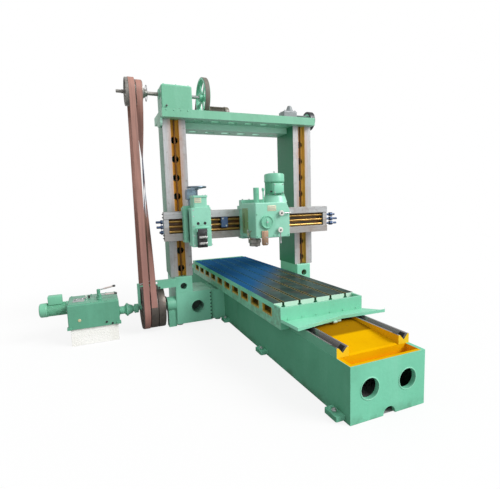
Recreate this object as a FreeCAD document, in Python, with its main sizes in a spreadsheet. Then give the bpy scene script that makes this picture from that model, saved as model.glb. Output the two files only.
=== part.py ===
import FreeCAD, Part
import math
import os
import Sketcher
from FreeCAD import Vector

# Gantry milling machine, millimetres, +Z up.
# Origin: middle of the bed's width on the floor, level with the machined front faces of the
# columns. +Y runs along the bed, away from the side where the cutting heads hang.

doc = FreeCAD.newDocument("gantry_mill")
sheet = doc.addObject("Spreadsheet::Sheet", "sizes")

SIZES = {
    # bed
    "bed_width": 690, "bed_front": -2708, "bed_rear": 2172, "bed_top": 430, "bed_wall": 35,
    "deck_thick": 60, "pit_floor": 355, "pit_thick": 30, "floor_lip": 438, "floor_high": 478,
    "floor_slope": 500, "floor_round": 26, "way_in": 55, "way_width": 106, "way_top": 505,
    "way_start": -2550, "way_stop": 158, "vee_half": 38, "vee_depth": 42, "window_in": 171,
    "window_z": 238, "window_r": 78, "rib_half": 30, "lug_first": 135, "lug_next": 1418,
    "lug_pitch": 1160, "lug_last": 160, "lug_out": 75, "lug_half": 75, "lug_low": 12,
    "lug_high": 50, "lug_screw_out": 38, "lug_screw_r": 12, "lug_screw_high": 78,
    # table
    "table_over": 96.5, "table_front": -1865, "table_rear": 1298, "table_top": 650,
    "deck_split": 601, "skirt_low": 441, "table_low": 512, "slot_share": 0.39,
    "slot_neck": 22, "slot_foot": 40, "slot_foot_high": 18, "trough_width": 130,
    "trough_wall": 18, "trough_step": 8, "pocket_pitch": 291, "pocket_width": 180, "pocket_deep": 60,
    "pocket_first": -1583, "pocket_low": 533, "tray_low": 514, "tray_thick": 3,
    "tray_lip": 28,
    # columns and pedestals
    "inner_half": 762, "column_width": 285, "column_deep": 490, "column_taper": 32,
    "recess_in": 136.5, "recess_width": 103, "recess_deep": 68, "column_wall": 35,
    "hole_r": 43, "hole_first": 747, "hole_pitch": 232, "screw_r": 12, "screw_y": 46,
    "pedestal_high": 650, "pedestal_front": -30, "pedestal_low": 30, "pedestal_in": 45,
    "flange_over": 185, "arch_r": 82,
    # top beam
    "beam_over": 13, "beam_front": -100, "beam_low": 2618, "beam_high": 2718,
    "beam_step_y": 180, "beam_step_z": 2540, "beam_back": 500, "beam_wall": 28,
    "beam_case_high": 270, "beam_window_r": 35, "end_cover_r": 130, "end_cover_y": 130,
    "bevel_high": 112,
    # cross-rail
    "rail_over": 93, "rail_front": -268, "rail_low": 1138, "rail_high": 1487,
    "rail_recess_low": 1225, "rail_recess_high": 1403, "rail_recess_deep": 90,
    "rail_shaft_r": 17, "rail_shaft_y": -225, "saddle_drop": 20,
    # running clearances and corner rounding
    "guide_gap": 0.3, "bore_gap": 0.1, "belt_gap": 0.4, "cross_gap": 1.0,
    "edge_r": 12, "case_r": 22,
    # overhead shaft and floor shaft with their belts, x measured out from the columns
    "top_y": 85, "top_z": 2918, "top_r": 162, "cross_top_r": 140, "shaft_r": 22,
    "low_y": 60, "low_z": 293, "low_r": 268, "low_shaft_r": 26, "open_out": 335,
    "cross_out": 250, "belt_width": 70, "belt_thick": 5,
    # wheel on the beam and its small motor
    "wheel_r": 236, "wheel_in": 517, "wheel_width": 65, "motor_y": 380, "motor_z": 2815,
    "motor_pulley_r": 40,
    "motor_out": 180, "motor_long": 230, "motor_r": 85, "motor_fan_r": 72,
    # feed gearbox on the floor, x measured out from the columns
    "case_near": 653, "case_far": 1203, "case_front": -170, "case_back": 300,
    "case_low": 200, "case_high": 480, "feed_motor_r": 70, "feed_motor_y": 50,
    "feed_motor_drop": 68, "plinth_in": 20,
    # cutting heads
    "tool_x": -757, "tool_front": -520, "tool_plane": -350, "hinge_z": 1272,
    "mill_left": -185, "mill_right": 262, "mill_front": -780, "mill_low": 1150,
    "mill_high": 1563, "saddle_top": 1605, "spindle_x": -120, "spindle_y": -590,
    "motor_x": 155, "knob_r": 33, "nose_drop": 105, "spindle_r": 62, "boss_r": 78,
    "mill_motor_y": -600, "mill_motor_r": 115, "mill_motor_rise": 35, "clapper_half": 56,
    "clapper_low": 1070, "hinge_r": 22, "pin_r": 8, "handwheel_r": 104, "handwheel_y": -440,
    "lever_back": 30,
}

for row, (alias, value) in enumerate(SIZES.items(), start=1):
    sheet.set("A%d" % row, alias)
    sheet.set("B%d" % row, str(value))
    sheet.setAlias("B%d" % row, alias)
doc.recompute()


class Dim:
    """A length that knows its number and the sheet formula that gives it."""

    def __init__(self, value, text):
        self.value = float(value)
        self.text = text

    def _join(self, other, sign, turned=False):
        if not isinstance(other, Dim):
            other = Dim(other, repr(float(other)))
        a, b = (other, self) if turned else (self, other)
        number = {"+": lambda: a.value + b.value, "-": lambda: a.value - b.value,
                  "*": lambda: a.value * b.value, "/": lambda: a.value / b.value}[sign]()
        return Dim(number, "(%s %s %s)" % (a.text, sign, b.text))

    def __add__(self, other):
        return self._join(other, "+")

    def __radd__(self, other):
        return self._join(other, "+", True)

    def __sub__(self, other):
        return self._join(other, "-")

    def __rsub__(self, other):
        return self._join(other, "-", True)

    def __mul__(self, other):
        return self._join(other, "*")

    def __rmul__(self, other):
        return self._join(other, "*", True)

    def __truediv__(self, other):
        return self._join(other, "/")

    def __neg__(self):
        return self._join(-1, "*")


class Sizes:
    """The sheet's sizes by name."""

    def __getattr__(self, alias):
        return Dim(sheet.get(alias), "sizes." + alias)


s = Sizes()


def dim(value):
    """The value as a length with a formula."""
    return value if isinstance(value, Dim) else Dim(value, repr(float(value)))


def number(value):
    """The plain number of a length."""
    return dim(value).value


def bind(obj, prop, value):
    """Tie a property to the formula of a length."""
    obj.setExpression(prop, dim(value).text)


def place(obj, x, y, z):
    """Tie an object's position to three lengths."""
    bind(obj, "Placement.Base.x", x)
    bind(obj, "Placement.Base.y", y)
    bind(obj, "Placement.Base.z", z)


def box(x, y, z):
    """Block between the low and high value along each axis."""
    obj = doc.addObject("Part::Box", "block")
    bind(obj, "Length", x[1] - dim(x[0]))
    bind(obj, "Width", y[1] - dim(y[0]))
    bind(obj, "Height", z[1] - dim(z[0]))
    place(obj, x[0], y[0], z[0])
    return obj


TURN = {"X": FreeCAD.Rotation(Vector(0, 1, 0), 90), "Y": FreeCAD.Rotation(Vector(1, 0, 0), -90),
        "Z": FreeCAD.Rotation()}


def along(axis, centre, low):
    """Point with the two coordinates across the axis and one along it."""
    a, b = centre
    return {"X": (low, a, b), "Y": (a, low, b), "Z": (a, b, low)}[axis]


def rod(axis, centre, radius, span):
    """Cylinder along an axis; centre gives the other two coordinates in X, Y, Z order."""
    obj = doc.addObject("Part::Cylinder", "rod")
    bind(obj, "Radius", radius)
    bind(obj, "Height", span[1] - dim(span[0]))
    obj.Placement = FreeCAD.Placement(Vector(), TURN[axis])
    place(obj, *along(axis, centre, span[0]))
    return obj


def cone(axis, centre, radii, span):
    """Cone frustum along an axis, with its radius at the low and at the high end."""
    obj = doc.addObject("Part::Cone", "cone")
    bind(obj, "Radius1", radii[0])
    bind(obj, "Radius2", radii[1])
    bind(obj, "Height", span[1] - dim(span[0]))
    obj.Placement = FreeCAD.Placement(Vector(), TURN[axis])
    place(obj, *along(axis, centre, span[0]))
    return obj


def ring(centre, across, through, axis="Z"):
    """Torus: across is the radius of its circle, through the radius of its bar."""
    obj = doc.addObject("Part::Torus", "ring")
    bind(obj, "Radius1", across)
    bind(obj, "Radius2", through)
    obj.Placement = FreeCAD.Placement(Vector(), TURN[axis])
    place(obj, *centre)
    return obj


def prism(plane, points, span):
    """Sketched outline padded over a span across its plane."""
    body = doc.addObject("PartDesign::Body", "body")
    sketch = body.newObject("Sketcher::SketchObject", "outline")
    face = [item for item in body.Origin.OriginFeatures if item.Role == plane + "_Plane"][0]
    sketch.AttachmentSupport = [(face, "")]
    sketch.MapMode = "FlatFace"
    corners = [(dim(u), dim(v)) for u, v in points]
    count = len(corners)
    for i in range(count):
        a, b = corners[i], corners[(i + 1) % count]
        sketch.addGeometry(Part.LineSegment(Vector(a[0].value, a[1].value, 0),
                                            Vector(b[0].value, b[1].value, 0)), False)
    for i in range(count):
        sketch.addConstraint(Sketcher.Constraint("Coincident", i, 2, (i + 1) % count, 1))
    for i, corner in enumerate(corners):
        for kind, part in (("DistanceX", corner[0]), ("DistanceY", corner[1])):
            at = sketch.addConstraint(Sketcher.Constraint(kind, -1, 1, i, 1, part.value))
            sketch.setExpression("Constraints[%d]" % at, part.text)
    pad = body.newObject("PartDesign::Pad", "pad")
    pad.Profile = sketch
    bind(pad, "Length", span[1] - dim(span[0]))
    body.Tip = pad
    sketch.Visibility = False
    if plane == "XY":
        place(body, 0, 0, span[0])
    elif plane == "XZ":
        place(body, 0, span[1], 0)
    else:
        place(body, span[0], 0, 0)
    return body


def fuse(*parts):
    """One solid from touching parts."""
    obj = doc.addObject("Part::MultiFuse", "joined")
    obj.Shapes = list(parts)
    obj.Refine = True
    return obj


def cut(base, *tools):
    """The base without what the tools fill."""
    obj = doc.addObject("Part::Cut", "trimmed")
    obj.Base = base
    obj.Tool = tools[0] if len(tools) == 1 else fuse(*tools)
    obj.Refine = True
    return obj


def group(*parts):
    """Separate solids under one name."""
    obj = doc.addObject("Part::Compound", "set")
    obj.Links = list(parts)
    return obj


def runs(edge):
    """Axis that a straight edge runs along, or O for a circle."""
    if isinstance(edge.Curve, Part.Circle):
        return "O"
    run = edge.Vertexes[-1].Point - edge.Vertexes[0].Point
    for axis, share in (("X", run.x), ("Y", run.y), ("Z", run.z)):
        if isinstance(edge.Curve, Part.Line) and abs(share) > 0.999 * run.Length > 0:
            return axis
    return "-"


def soften(obj, radius, axes, at=lambda middle: True):
    """Round the edges along the named axes, or round circles, whose middle passes the test."""
    doc.recompute()
    r = dim(radius).value
    picked = []
    for i, edge in enumerate(obj.Shape.Edges, start=1):
        if runs(edge) in axes and edge.Length > r and at(edge.CenterOfMass):
            picked.append((i, r, r))
    rounded = doc.addObject("Part::Fillet", "rounded")
    rounded.Base = obj
    rounded.Edges = picked
    return rounded


NODES = {}


def node(name, obj):
    """Name a finished piece and keep it for the export."""
    obj.Label = name
    NODES[name] = obj
    return obj


def both(low, high, side):
    """Span mirrored to the left for side -1."""
    return (low, high) if side > 0 else (-dim(high), -dim(low))


SIDES = ((-1, "left"), (1, "right"))
gap = s.guide_gap
fit = s.bore_gap
half = s.bed_width / 2
outer = s.inner_half + s.column_width

# Bed: a casting with end walls, ribs under the deck and levelling lugs. The floor between the
# ways falls to a pit inside each end wall.
inner = half - s.bed_wall
way_x = half - s.way_in
deck_low = s.bed_top - s.deck_thick
bed_outline = [(-half, 0), (-inner, 0), (-inner, deck_low), (inner, deck_low), (inner, 0),
               (half, 0), (half, s.bed_top), (-half, s.bed_top)]
bed_parts = [prism("XZ", bed_outline, (s.bed_front, s.bed_rear))]
floor_half = way_x - s.way_width / 2 - s.guide_gap
floor_front = s.way_start
floor_rear = s.bed_rear - s.way_stop
floor_outline = [(floor_front, deck_low), (floor_front, s.floor_lip),
                 (floor_front + s.floor_slope, s.floor_high),
                 (floor_rear - s.floor_slope, s.floor_high), (floor_rear, s.floor_lip),
                 (floor_rear, deck_low)]
bed_floor = prism("YZ", floor_outline, (-floor_half, floor_half))
bed_parts.append(soften(bed_floor, s.floor_round, "X",
                        lambda middle: abs(middle.z - s.floor_lip.value) < 1))
pits = ((s.bed_front + s.bed_wall, floor_front, floor_front + s.pit_thick),
        (floor_rear, s.bed_rear - s.bed_wall, floor_rear - s.pit_thick))
bed_parts.append(box((-inner, inner), (s.bed_front + 1, pits[0][2]),
                     (s.pit_floor - s.pit_thick, deck_low + 1)))
bed_parts.append(box((-inner, inner), (pits[1][2], s.bed_rear - 1),
                     (s.pit_floor - s.pit_thick, deck_low + 1)))
for y0, y1 in ((s.bed_front, s.bed_front + s.bed_wall), (s.bed_rear - s.bed_wall, s.bed_rear)):
    bed_parts.append(box((-half, half), (y0, y1), (0, s.bed_top)))
for rib_y in (-1600, -500, 0, 1100):
    bed_parts.append(box((-inner, inner), (rib_y - s.rib_half, rib_y + s.rib_half), (0, deck_low)))
LUG_Y = [s.bed_front + s.lug_first]
LUG_Y += [s.bed_front + s.lug_next + s.lug_pitch * i for i in range(3)]
LUG_Y.append(s.bed_rear - s.lug_last)
lug_x = half + s.lug_screw_out
for side, name in SIDES:
    for y in LUG_Y:
        lug = box(both(half - 5, half + s.lug_out, side), (y - s.lug_half, y + s.lug_half),
                  (s.lug_low, s.lug_high))
        bed_parts.append(soften(lug, s.edge_r, "Z", lambda middle: abs(middle.x) > half.value))
bed_cuts = [box((-inner, inner), (y0, y1), (s.pit_floor, s.bed_top + 50)) for y0, y1, back in pits]
for side, name in SIDES:
    for y0 in (s.bed_front - 10, s.bed_rear - s.bed_wall - 10):
        bed_cuts.append(rod("Y", ((half - s.window_in) * side, s.window_z), s.window_r,
                            (y0, y0 + s.bed_wall + 20)))
    for y in LUG_Y:
        bed_cuts.append(rod("Z", (lug_x * side, y), s.lug_screw_r + 1, (0, s.lug_high + 10)))
# A drain arch at the foot of each end wall.
drain = (5, 5)
for y0 in (s.bed_front - 10, s.bed_rear - s.bed_wall - 10):
    bed_cuts.append(rod("Y", drain, 55, (y0, y0 + s.bed_wall + 20)))
node("bed", cut(fuse(*bed_parts), *bed_cuts))

ways = []
for side, name in SIDES:
    lo, hi = way_x - s.way_width / 2, way_x + s.way_width / 2
    outline = [(lo, s.bed_top), (hi, s.bed_top), (hi, s.way_top), (way_x + s.vee_half, s.way_top),
               (way_x, s.way_top - s.vee_depth), (way_x - s.vee_half, s.way_top),
               (lo, s.way_top)]
    outline = [(u * side, v) for u, v in outline]
    ways.append(prism("XZ", outline, (s.way_start, s.bed_rear - s.way_stop)))
node("bed_ways", group(*ways))

screws = []
for side, name in SIDES:
    for y in LUG_Y:
        at = (lug_x * side, y)
        screws.append(fuse(rod("Z", at, s.lug_screw_r, (0, s.lug_screw_high)),
                           rod("Z", at, s.lug_screw_r + 9, (s.lug_high, s.lug_high + 16)),
                           rod("Z", at, s.lug_screw_r + 14, (0, s.lug_low))))
node("levelling_screws", group(*screws))

# Table: a casting with pockets along both sides and a walled trough at each end, under six deck
# strips that form the slots.
skirt = half + 12
t_half = half + s.table_over
foot_z = s.way_top - s.vee_depth + 8 + gap
foot_half = s.vee_half * 8 / s.vee_depth
table_outline = [(-t_half, s.skirt_low), (-skirt, s.skirt_low), (-skirt, s.table_low)]
for side, name in SIDES:
    x = way_x * side
    table_outline += [(x - s.vee_half, s.table_low), (x - s.vee_half, s.way_top + gap),
                      (x - foot_half, foot_z), (x + foot_half, foot_z),
                      (x + s.vee_half, s.way_top + gap), (x + s.vee_half, s.table_low)]
table_outline += [(skirt, s.table_low), (skirt, s.skirt_low), (t_half, s.skirt_low),
                  (t_half, s.deck_split), (-t_half, s.deck_split)]
pockets = []
for side, name in SIDES:
    for i in range(10):
        y = s.pocket_first + s.pocket_pitch * i
        pockets.append(box(both(t_half - s.pocket_deep, t_half + 5, side),
                           (y - s.pocket_width / 2, y + s.pocket_width / 2),
                           (s.pocket_low, s.deck_split + 5)))
table_parts = [prism("XZ", table_outline, (s.table_front, s.table_rear))]
deck_y = (s.table_front + s.trough_width, s.table_rear - s.trough_width)
wall_z = (s.deck_split - 1, s.table_top - s.trough_step)
for y0, y1 in ((s.table_front, deck_y[0] - fit), (deck_y[1] + fit, s.table_rear)):
    for side, name in SIDES:
        table_parts.append(box(both(t_half - s.trough_wall, t_half, side), (y0, y1), wall_z))
for y0 in (s.table_front, s.table_rear - s.trough_wall):
    table_parts.append(box((-t_half, t_half), (y0, y0 + s.trough_wall), wall_z))
node("table", cut(fuse(*table_parts), *pockets))

pitch = t_half * s.slot_share
strips = []
for i in range(6):
    lo = -t_half if i == 0 else pitch * (i - 3)
    hi = t_half if i == 5 else pitch * (i - 2)
    low_neck = lo if i == 0 else lo + s.slot_neck / 2
    low_foot = lo if i == 0 else lo + s.slot_foot / 2
    high_neck = hi if i == 5 else hi - s.slot_neck / 2
    high_foot = hi if i == 5 else hi - s.slot_foot / 2
    step_z = s.deck_split + s.slot_foot_high
    outline = [(low_foot, s.deck_split), (high_foot, s.deck_split)]
    if i < 5:
        outline += [(high_foot, step_z), (high_neck, step_z)]
    outline += [(high_neck, s.table_top), (low_neck, s.table_top)]
    if i > 0:
        outline += [(low_neck, step_z), (low_foot, step_z)]
    strips.append(prism("XZ", outline, deck_y))
node("table_deck", group(*strips))

trays = []
for sign, edge in ((-1, s.table_front), (1, s.table_rear)):
    pts = [(-t_half + 1, edge), (-t_half + 21, edge + 270 * sign), (90, edge + 165 * sign),
           (t_half + 114, edge + 190 * sign), (t_half + 150, edge + 150 * sign),
           (t_half + 8, edge)]
    if sign > 0:
        pts = [(-dim(u), v) for u, v in pts]
    inside = [(u, v - s.tray_thick * sign) for u, v in pts]
    top = s.tray_low + s.tray_lip
    trays.append(cut(prism("XY", pts, (s.tray_low, top)),
                     prism("XY", inside, (s.tray_low + s.tray_thick, top + 5))))
node("table_trays", group(*trays))

# Columns: closed box castings with a machined face, a recess for the screw and round holes.
recess_x = s.inner_half + s.recess_in
ped_outer = outer - s.pedestal_in
ped_inner = s.inner_half + 15
flange = half + s.flange_over
for side, name in SIDES:
    r0, r1 = recess_x - s.recess_width / 2, recess_x + s.recess_width / 2
    outline = [(s.inner_half, 0), (r0, 0), (r0, s.recess_deep), (r1, s.recess_deep), (r1, 0),
               (outer, 0), (outer - s.column_taper, s.column_deep), (s.inner_half, s.column_deep)]
    outline = [(u * side, v) for u, v in outline]
    shaft = prism("XY", outline, (s.pedestal_high, s.beam_low))
    hollow = box(both(s.inner_half + s.column_wall, outer - s.column_wall - s.column_taper, side),
                 (s.recess_deep + 30, s.column_deep - s.column_wall),
                 (s.pedestal_high + 30, s.beam_low - 30))
    holes = [rod("Y", (recess_x * side, s.hole_first + s.hole_pitch * i), s.hole_r,
                 (s.recess_deep - 5, s.recess_deep + 40)) for i in range(8)]
    node("column_" + name, cut(shaft, hollow, *holes))

    upper = box(both(ped_inner, ped_outer, side), (s.pedestal_front, s.column_deep),
                (435, s.pedestal_high))
    upper = soften(upper, s.edge_r, "XZ", lambda middle: middle.y < 0)
    lower = box(both(flange, ped_outer, side), (s.pedestal_front, s.column_deep),
                (s.pedestal_low, 440))
    lower = soften(lower, s.edge_r, "Z", lambda middle: middle.y < 0)
    flank = box(both(half, flange + 1, side), (s.pedestal_front + 25, s.column_deep),
                (s.pedestal_low, 422))
    back = box(both(ped_inner, ped_outer, side), (20, s.column_deep), (420, 470))
    inside = [rod("Y", ((s.inner_half - 40) * side, 235), s.arch_r,
                  (s.pedestal_front - 5, s.pedestal_front + 200)),
              rod("Y", ((recess_x - 3.5) * side, 525), 42,
                  (s.pedestal_front - 5, s.pedestal_front + 100))]
    pads = [rod("Z", (x * side, y), 40, (0, s.pedestal_low + 2))
            for x in (half + 85, ped_outer - 52) for y in (60, 420)]
    node("pedestal_" + name, fuse(cut(fuse(upper, lower, flank, back), *inside), *pads))

elevators = [rod("Z", (recess_x * side, s.screw_y), s.screw_r, (s.pedestal_high, s.beam_low))
             for side, name in SIDES]
node("elevating_screws", group(*elevators))

# Top beam: a stepped open tray that lies on both columns.
beam_half = outer + s.beam_over
w = s.beam_wall
beam_outline = [(s.beam_front, s.beam_low), (s.beam_step_y, s.beam_low),
                (s.beam_step_y, s.beam_step_z), (s.beam_back, s.beam_step_z),
                (s.beam_back, s.beam_high), (s.beam_back - w, s.beam_high),
                (s.beam_back - w, s.beam_step_z + w), (s.beam_step_y + w, s.beam_step_z + w),
                (s.beam_step_y + w, s.beam_low + w), (s.beam_front + w, s.beam_low + w),
                (s.beam_front + w, s.beam_high), (s.beam_front, s.beam_high)]
beam_parts = [prism("YZ", beam_outline, (-beam_half, beam_half))]
beam_cuts = []
cheek = [(-40, s.beam_low + 10), (-40, s.beam_low - 60), (-10, s.beam_low - 88),
         (60, s.beam_low - 95), (150, s.beam_low - 86), (190, s.beam_low - 50),
         (190, s.beam_low + 10)]
for side, name in SIDES:
    beam_parts.append(box(both(beam_half - w, beam_half, side), (s.beam_front, s.beam_back),
                          (s.beam_low, s.beam_high)))
    # The columns' tops stand up into the lower step.
    beam_cuts.append(box(both(s.inner_half - 1, beam_half + 5, side),
                         (s.beam_front - 5, s.beam_back + 5), (s.beam_step_z - 5, s.beam_low)))
for i in range(6):
    x = s.inner_half * (-0.76 + 0.304 * i)
    for y in (s.beam_front + 140, s.beam_back - 160):
        window_z = (s.beam_step_z - 5, s.beam_low + w + 5)
        beam_cuts.append(box((x - 30, x + 30), (y - s.beam_window_r, y + s.beam_window_r), window_z))
        beam_cuts += [rod("Z", (x + end, y), s.beam_window_r, window_z) for end in (-30, 30)]
bevel_x = s.inner_half + 5
for x in (-s.inner_half - 60, bevel_x - 115, bevel_x + 50):
    beam_parts.append(box((x, x + 20), (s.beam_front, s.beam_back), (s.beam_low, s.beam_high)))
beam_body = cut(fuse(*beam_parts), *beam_cuts)
node("top_beam", fuse(beam_body, prism("YZ", cheek, both(outer + 1, outer + 29, -1))))

axle = (s.top_y, s.top_z)
case_x = (-outer - 8, -outer + 362)
beam_case = soften(box(case_x, (s.beam_front, 200), (s.beam_high, s.beam_high + s.beam_case_high)),
                   s.edge_r, "XYZ", lambda middle: middle.z > s.beam_high.value + 5)
node("elevating_gearbox",
     cut(beam_case, rod("X", axle, s.shaft_r + fit, (case_x[0] - 5, case_x[1] + 5))))

bevel_z = s.beam_high + s.bevel_high
bevel = [soften(box((bevel_x - 125, bevel_x + 75), (20, 180), (s.beam_high, bevel_z)),
                s.case_r, "XY", lambda middle: middle.z > s.beam_high.value + 5),
         cone("Z", (bevel_x, s.top_y + 15), (56, 26), (bevel_z - 1, bevel_z + 76)),
         box((bevel_x + 70, beam_half - 2), (60, 110), (bevel_z - 62, bevel_z - 50)),
         box((beam_half - 22, beam_half - 2), (60, 110), (s.beam_high, bevel_z - 50))]
node("bevel_bracket", fuse(*bevel))
cover_axle = (s.end_cover_y, s.beam_high + 4)
cover = rod("X", cover_axle, s.end_cover_r, (beam_half, beam_half + 75))
node("beam_end_cover", fuse(cover, rod("X", cover_axle, s.end_cover_r - 34,
                                       (beam_half + 74, beam_half + 84))))

wheel_x = (-outer + s.wheel_in, -outer + s.wheel_in + s.wheel_width)
wheel_mid = (wheel_x[0] + wheel_x[1]) / 2
motor = (s.motor_y, s.motor_z)
motor_x0 = wheel_x[0] + s.motor_out
motor_x1 = motor_x0 + s.motor_long
node("elevating_motor", fuse(rod("X", motor, s.motor_r, (motor_x0, motor_x1)),
                             rod("X", motor, s.motor_fan_r, (motor_x1 - 1, motor_x1 + 60)),
                             box((motor_x0 + 30, motor_x1 - 30), (s.motor_y - 70, s.motor_y + 70),
                                 (s.beam_step_z + w, s.motor_z - 50))))
dish = [rod("X", axle, s.wheel_r - 22, (wheel_x[0] - 5, wheel_mid - 7)),
        rod("X", axle, s.wheel_r - 22, (wheel_mid + 7, wheel_x[1] + 5))]
for i in range(5):
    turn = math.radians(72 * i + 18)
    reach = s.wheel_r * 0.55
    hole_at = (s.top_y + reach * math.cos(turn), s.top_z + reach * math.sin(turn))
    dish.append(rod("X", hole_at, s.wheel_r * 0.265, (wheel_x[0] - 5, wheel_x[1] + 5)))
node("elevating_wheel", fuse(cut(rod("X", axle, s.wheel_r, wheel_x), *dish),
                             rod("X", axle, 48, (wheel_x[0] - 20, wheel_x[1] + 10)),
                             rod("X", axle, s.shaft_r, (case_x[1] - 60, wheel_x[1] + 40))))


def pulley(centre, radius, x0, x1, bore, web=14):
    """Flat-belt pulley: rim, web and hub."""
    mid = (x0 + x1) / 2
    rim = cut(rod("X", centre, radius, (x0, x1)),
              rod("X", centre, radius - 12, (x0 - 1, x1 + 1)))
    plate = cut(rod("X", centre, radius - 8, (mid - web / 2, mid + web / 2)),
                rod("X", centre, bore, (mid - web, mid + web)))
    hub = cut(rod("X", centre, bore + 22, (x0 + 8, x1 - 8)),
              rod("X", centre, bore, (x0, x1)))
    return fuse(rim, plate, hub)


# Overhead shaft with two pulleys, floor shaft with three.
node("countershaft", fuse(rod("X", axle, s.shaft_r, (-outer - 503, case_x[0] + 55)),
                          cone("X", axle, (62, 34), (-outer - 207, -outer - 143))))
node("top_pulleys", group(pulley(axle, s.top_r, -outer - 405, -outer - 298, s.shaft_r),
                          pulley(axle, s.cross_top_r, -outer - 293, -outer - 208, s.shaft_r)))
floor_axle = (s.low_y, s.low_z)
case_near, case_far = -outer - s.case_near, -outer - s.case_far
node("drive_shaft", fuse(rod("X", floor_axle, s.low_shaft_r, (case_near - 40, -ped_outer - 35)),
                         rod("X", floor_axle, 48, (case_near + 12, case_near + 72)),
                         rod("X", floor_axle, 80, (case_near + 92, case_near + 110)),
                         cone("X", floor_axle, (52, 76), (case_near + 71, case_near + 93)),
                         cone("X", floor_axle, (76, 48), (case_near + 109, case_near + 170)),
                         rod("X", floor_axle, 56, (case_near + 185, case_near + 236))))
node("drive_pulleys", group(*[pulley(floor_axle, s.low_r, -outer - far, -outer - near,
                                     s.low_shaft_r)
                              for far, near in ((383, 298), (290, 205), (198, 113))]))


def belt_loop(y1, z1, r1, y2, z2, r2, x, width, thick):
    """Open flat belt round two wheels on X axes."""
    y1, z1, r1, y2, z2, r2, x, width, thick = [number(v) for v in
                                               (y1, z1, r1, y2, z2, r2, x, width, thick)]

    def outline(extra):
        a, b = r1 + extra, r2 + extra
        dy, dz = y2 - y1, z2 - z1
        dist = math.hypot(dy, dz)
        base = math.atan2(dz, dy)
        turn = math.acos((a - b) / dist)
        pts = []
        for sign in (1, -1):
            ang = base + sign * turn
            pts.append((Vector(x - width / 2, y1 + a * math.cos(ang), z1 + a * math.sin(ang)),
                        Vector(x - width / 2, y2 + b * math.cos(ang), z2 + b * math.sin(ang))))
        (p1, q1), (p2, q2) = pts
        back = Vector(x - width / 2, y1 - a * math.cos(base), z1 - a * math.sin(base))
        front = Vector(x - width / 2, y2 + b * math.cos(base), z2 + b * math.sin(base))
        edges = [Part.makeLine(p1, q1), Part.Arc(q1, front, q2).toShape(), Part.makeLine(q2, p2),
                 Part.Arc(p2, back, p1).toShape()]
        return Part.Face(Part.Wire(edges))

    outside = outline(thick).extrude(Vector(width, 0, 0))
    return outside.cut(outline(0).extrude(Vector(width, 0, 0)))


def crossed_loop(y1, z1, r1, y2, z2, r2, x, width, thick):
    """Crossed flat belt: each strand turns half over between the wheels."""
    y1, z1, r1, y2, z2, r2, x, width, thick = [number(v) for v in
                                               (y1, z1, r1, y2, z2, r2, x, width, thick)]
    dy, dz = y2 - y1, z2 - z1
    dist = math.hypot(dy, dz)
    base = math.atan2(dz, dy)
    turn = math.acos((r1 + r2 + thick) / dist)
    crossing = (r1 + thick / 2) / (r1 + r2 + thick)
    steps = [(0.0, 0)]
    for start, stop, first, count in ((0.02, 0.85 * crossing, 0, 4),
                                      (1.17 * crossing, 0.98, 90, 6)):
        steps += [(start + (stop - start) * k / count, first + 90 * k / count)
                  for k in range(count + 1)]
    steps.append((1.0, 180))
    solids = []
    ends = []
    for sign in (1, -1):
        a1 = base + sign * turn
        a2 = a1 + math.pi
        mid1, mid2 = r1 + thick / 2, r2 + thick / 2
        p = Vector(x, y1 + mid1 * math.cos(a1), z1 + mid1 * math.sin(a1))
        q = Vector(x, y2 + mid2 * math.cos(a2), z2 + mid2 * math.sin(a2))
        ends.append((a1, a2))
        run = q - p
        run.normalize()
        across = Vector(1, 0, 0)
        normal = run.cross(across)
        wires = []
        for t, deg in steps:
            aside = sign * (thick / 2 + 1) * math.sin(math.pi * t)
            c = p + (q - p) * t + across * aside
            rad = math.radians(deg)
            u = across * math.cos(rad) + normal * math.sin(rad)
            v = normal * math.cos(rad) - across * math.sin(rad)
            pts = [c + u * (width / 2 * i) + v * (thick / 2 * j)
                   for i, j in ((-1, -1), (1, -1), (1, 1), (-1, 1))]
            wires.append(Part.makePolygon(pts + [pts[0]]))
        solids.append(Part.makeLoft(wires, True, True))
    for cy, cz, r, start, stop in ((y1, z1, r1, ends[0][0], ends[1][0] + 2 * math.pi),
                                   (y2, z2, r2, ends[1][1], ends[0][1])):
        lo, hi = math.degrees(start), math.degrees(stop)
        if hi < lo:
            hi += 360
        centre = Vector(x - width / 2, cy, cz)
        discs = [Part.Face(Part.Wire([Part.makeCircle(radius, centre, Vector(1, 0, 0)).Edges[0]]))
                 for radius in (r + thick, r)]
        far = 3 * (r + thick)
        fan = [centre]
        for k in range(9):
            ang = math.radians(lo + (hi - lo) * k / 8)
            fan.append(Vector(x - width / 2, cy + far * math.cos(ang), cz + far * math.sin(ang)))
        sector = Part.Face(Part.makePolygon(fan + [fan[0]]))
        solids.append(discs[0].cut(discs[1]).common(sector).extrude(Vector(width, 0, 0)))
    return solids[0].fuse(solids[1:])


def made(shape):
    """A shape that is worked out here, as an object of the document."""
    obj = doc.addObject("Part::Feature", "formed")
    obj.Shape = shape
    obj.Placement = FreeCAD.Placement()
    return obj


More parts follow.
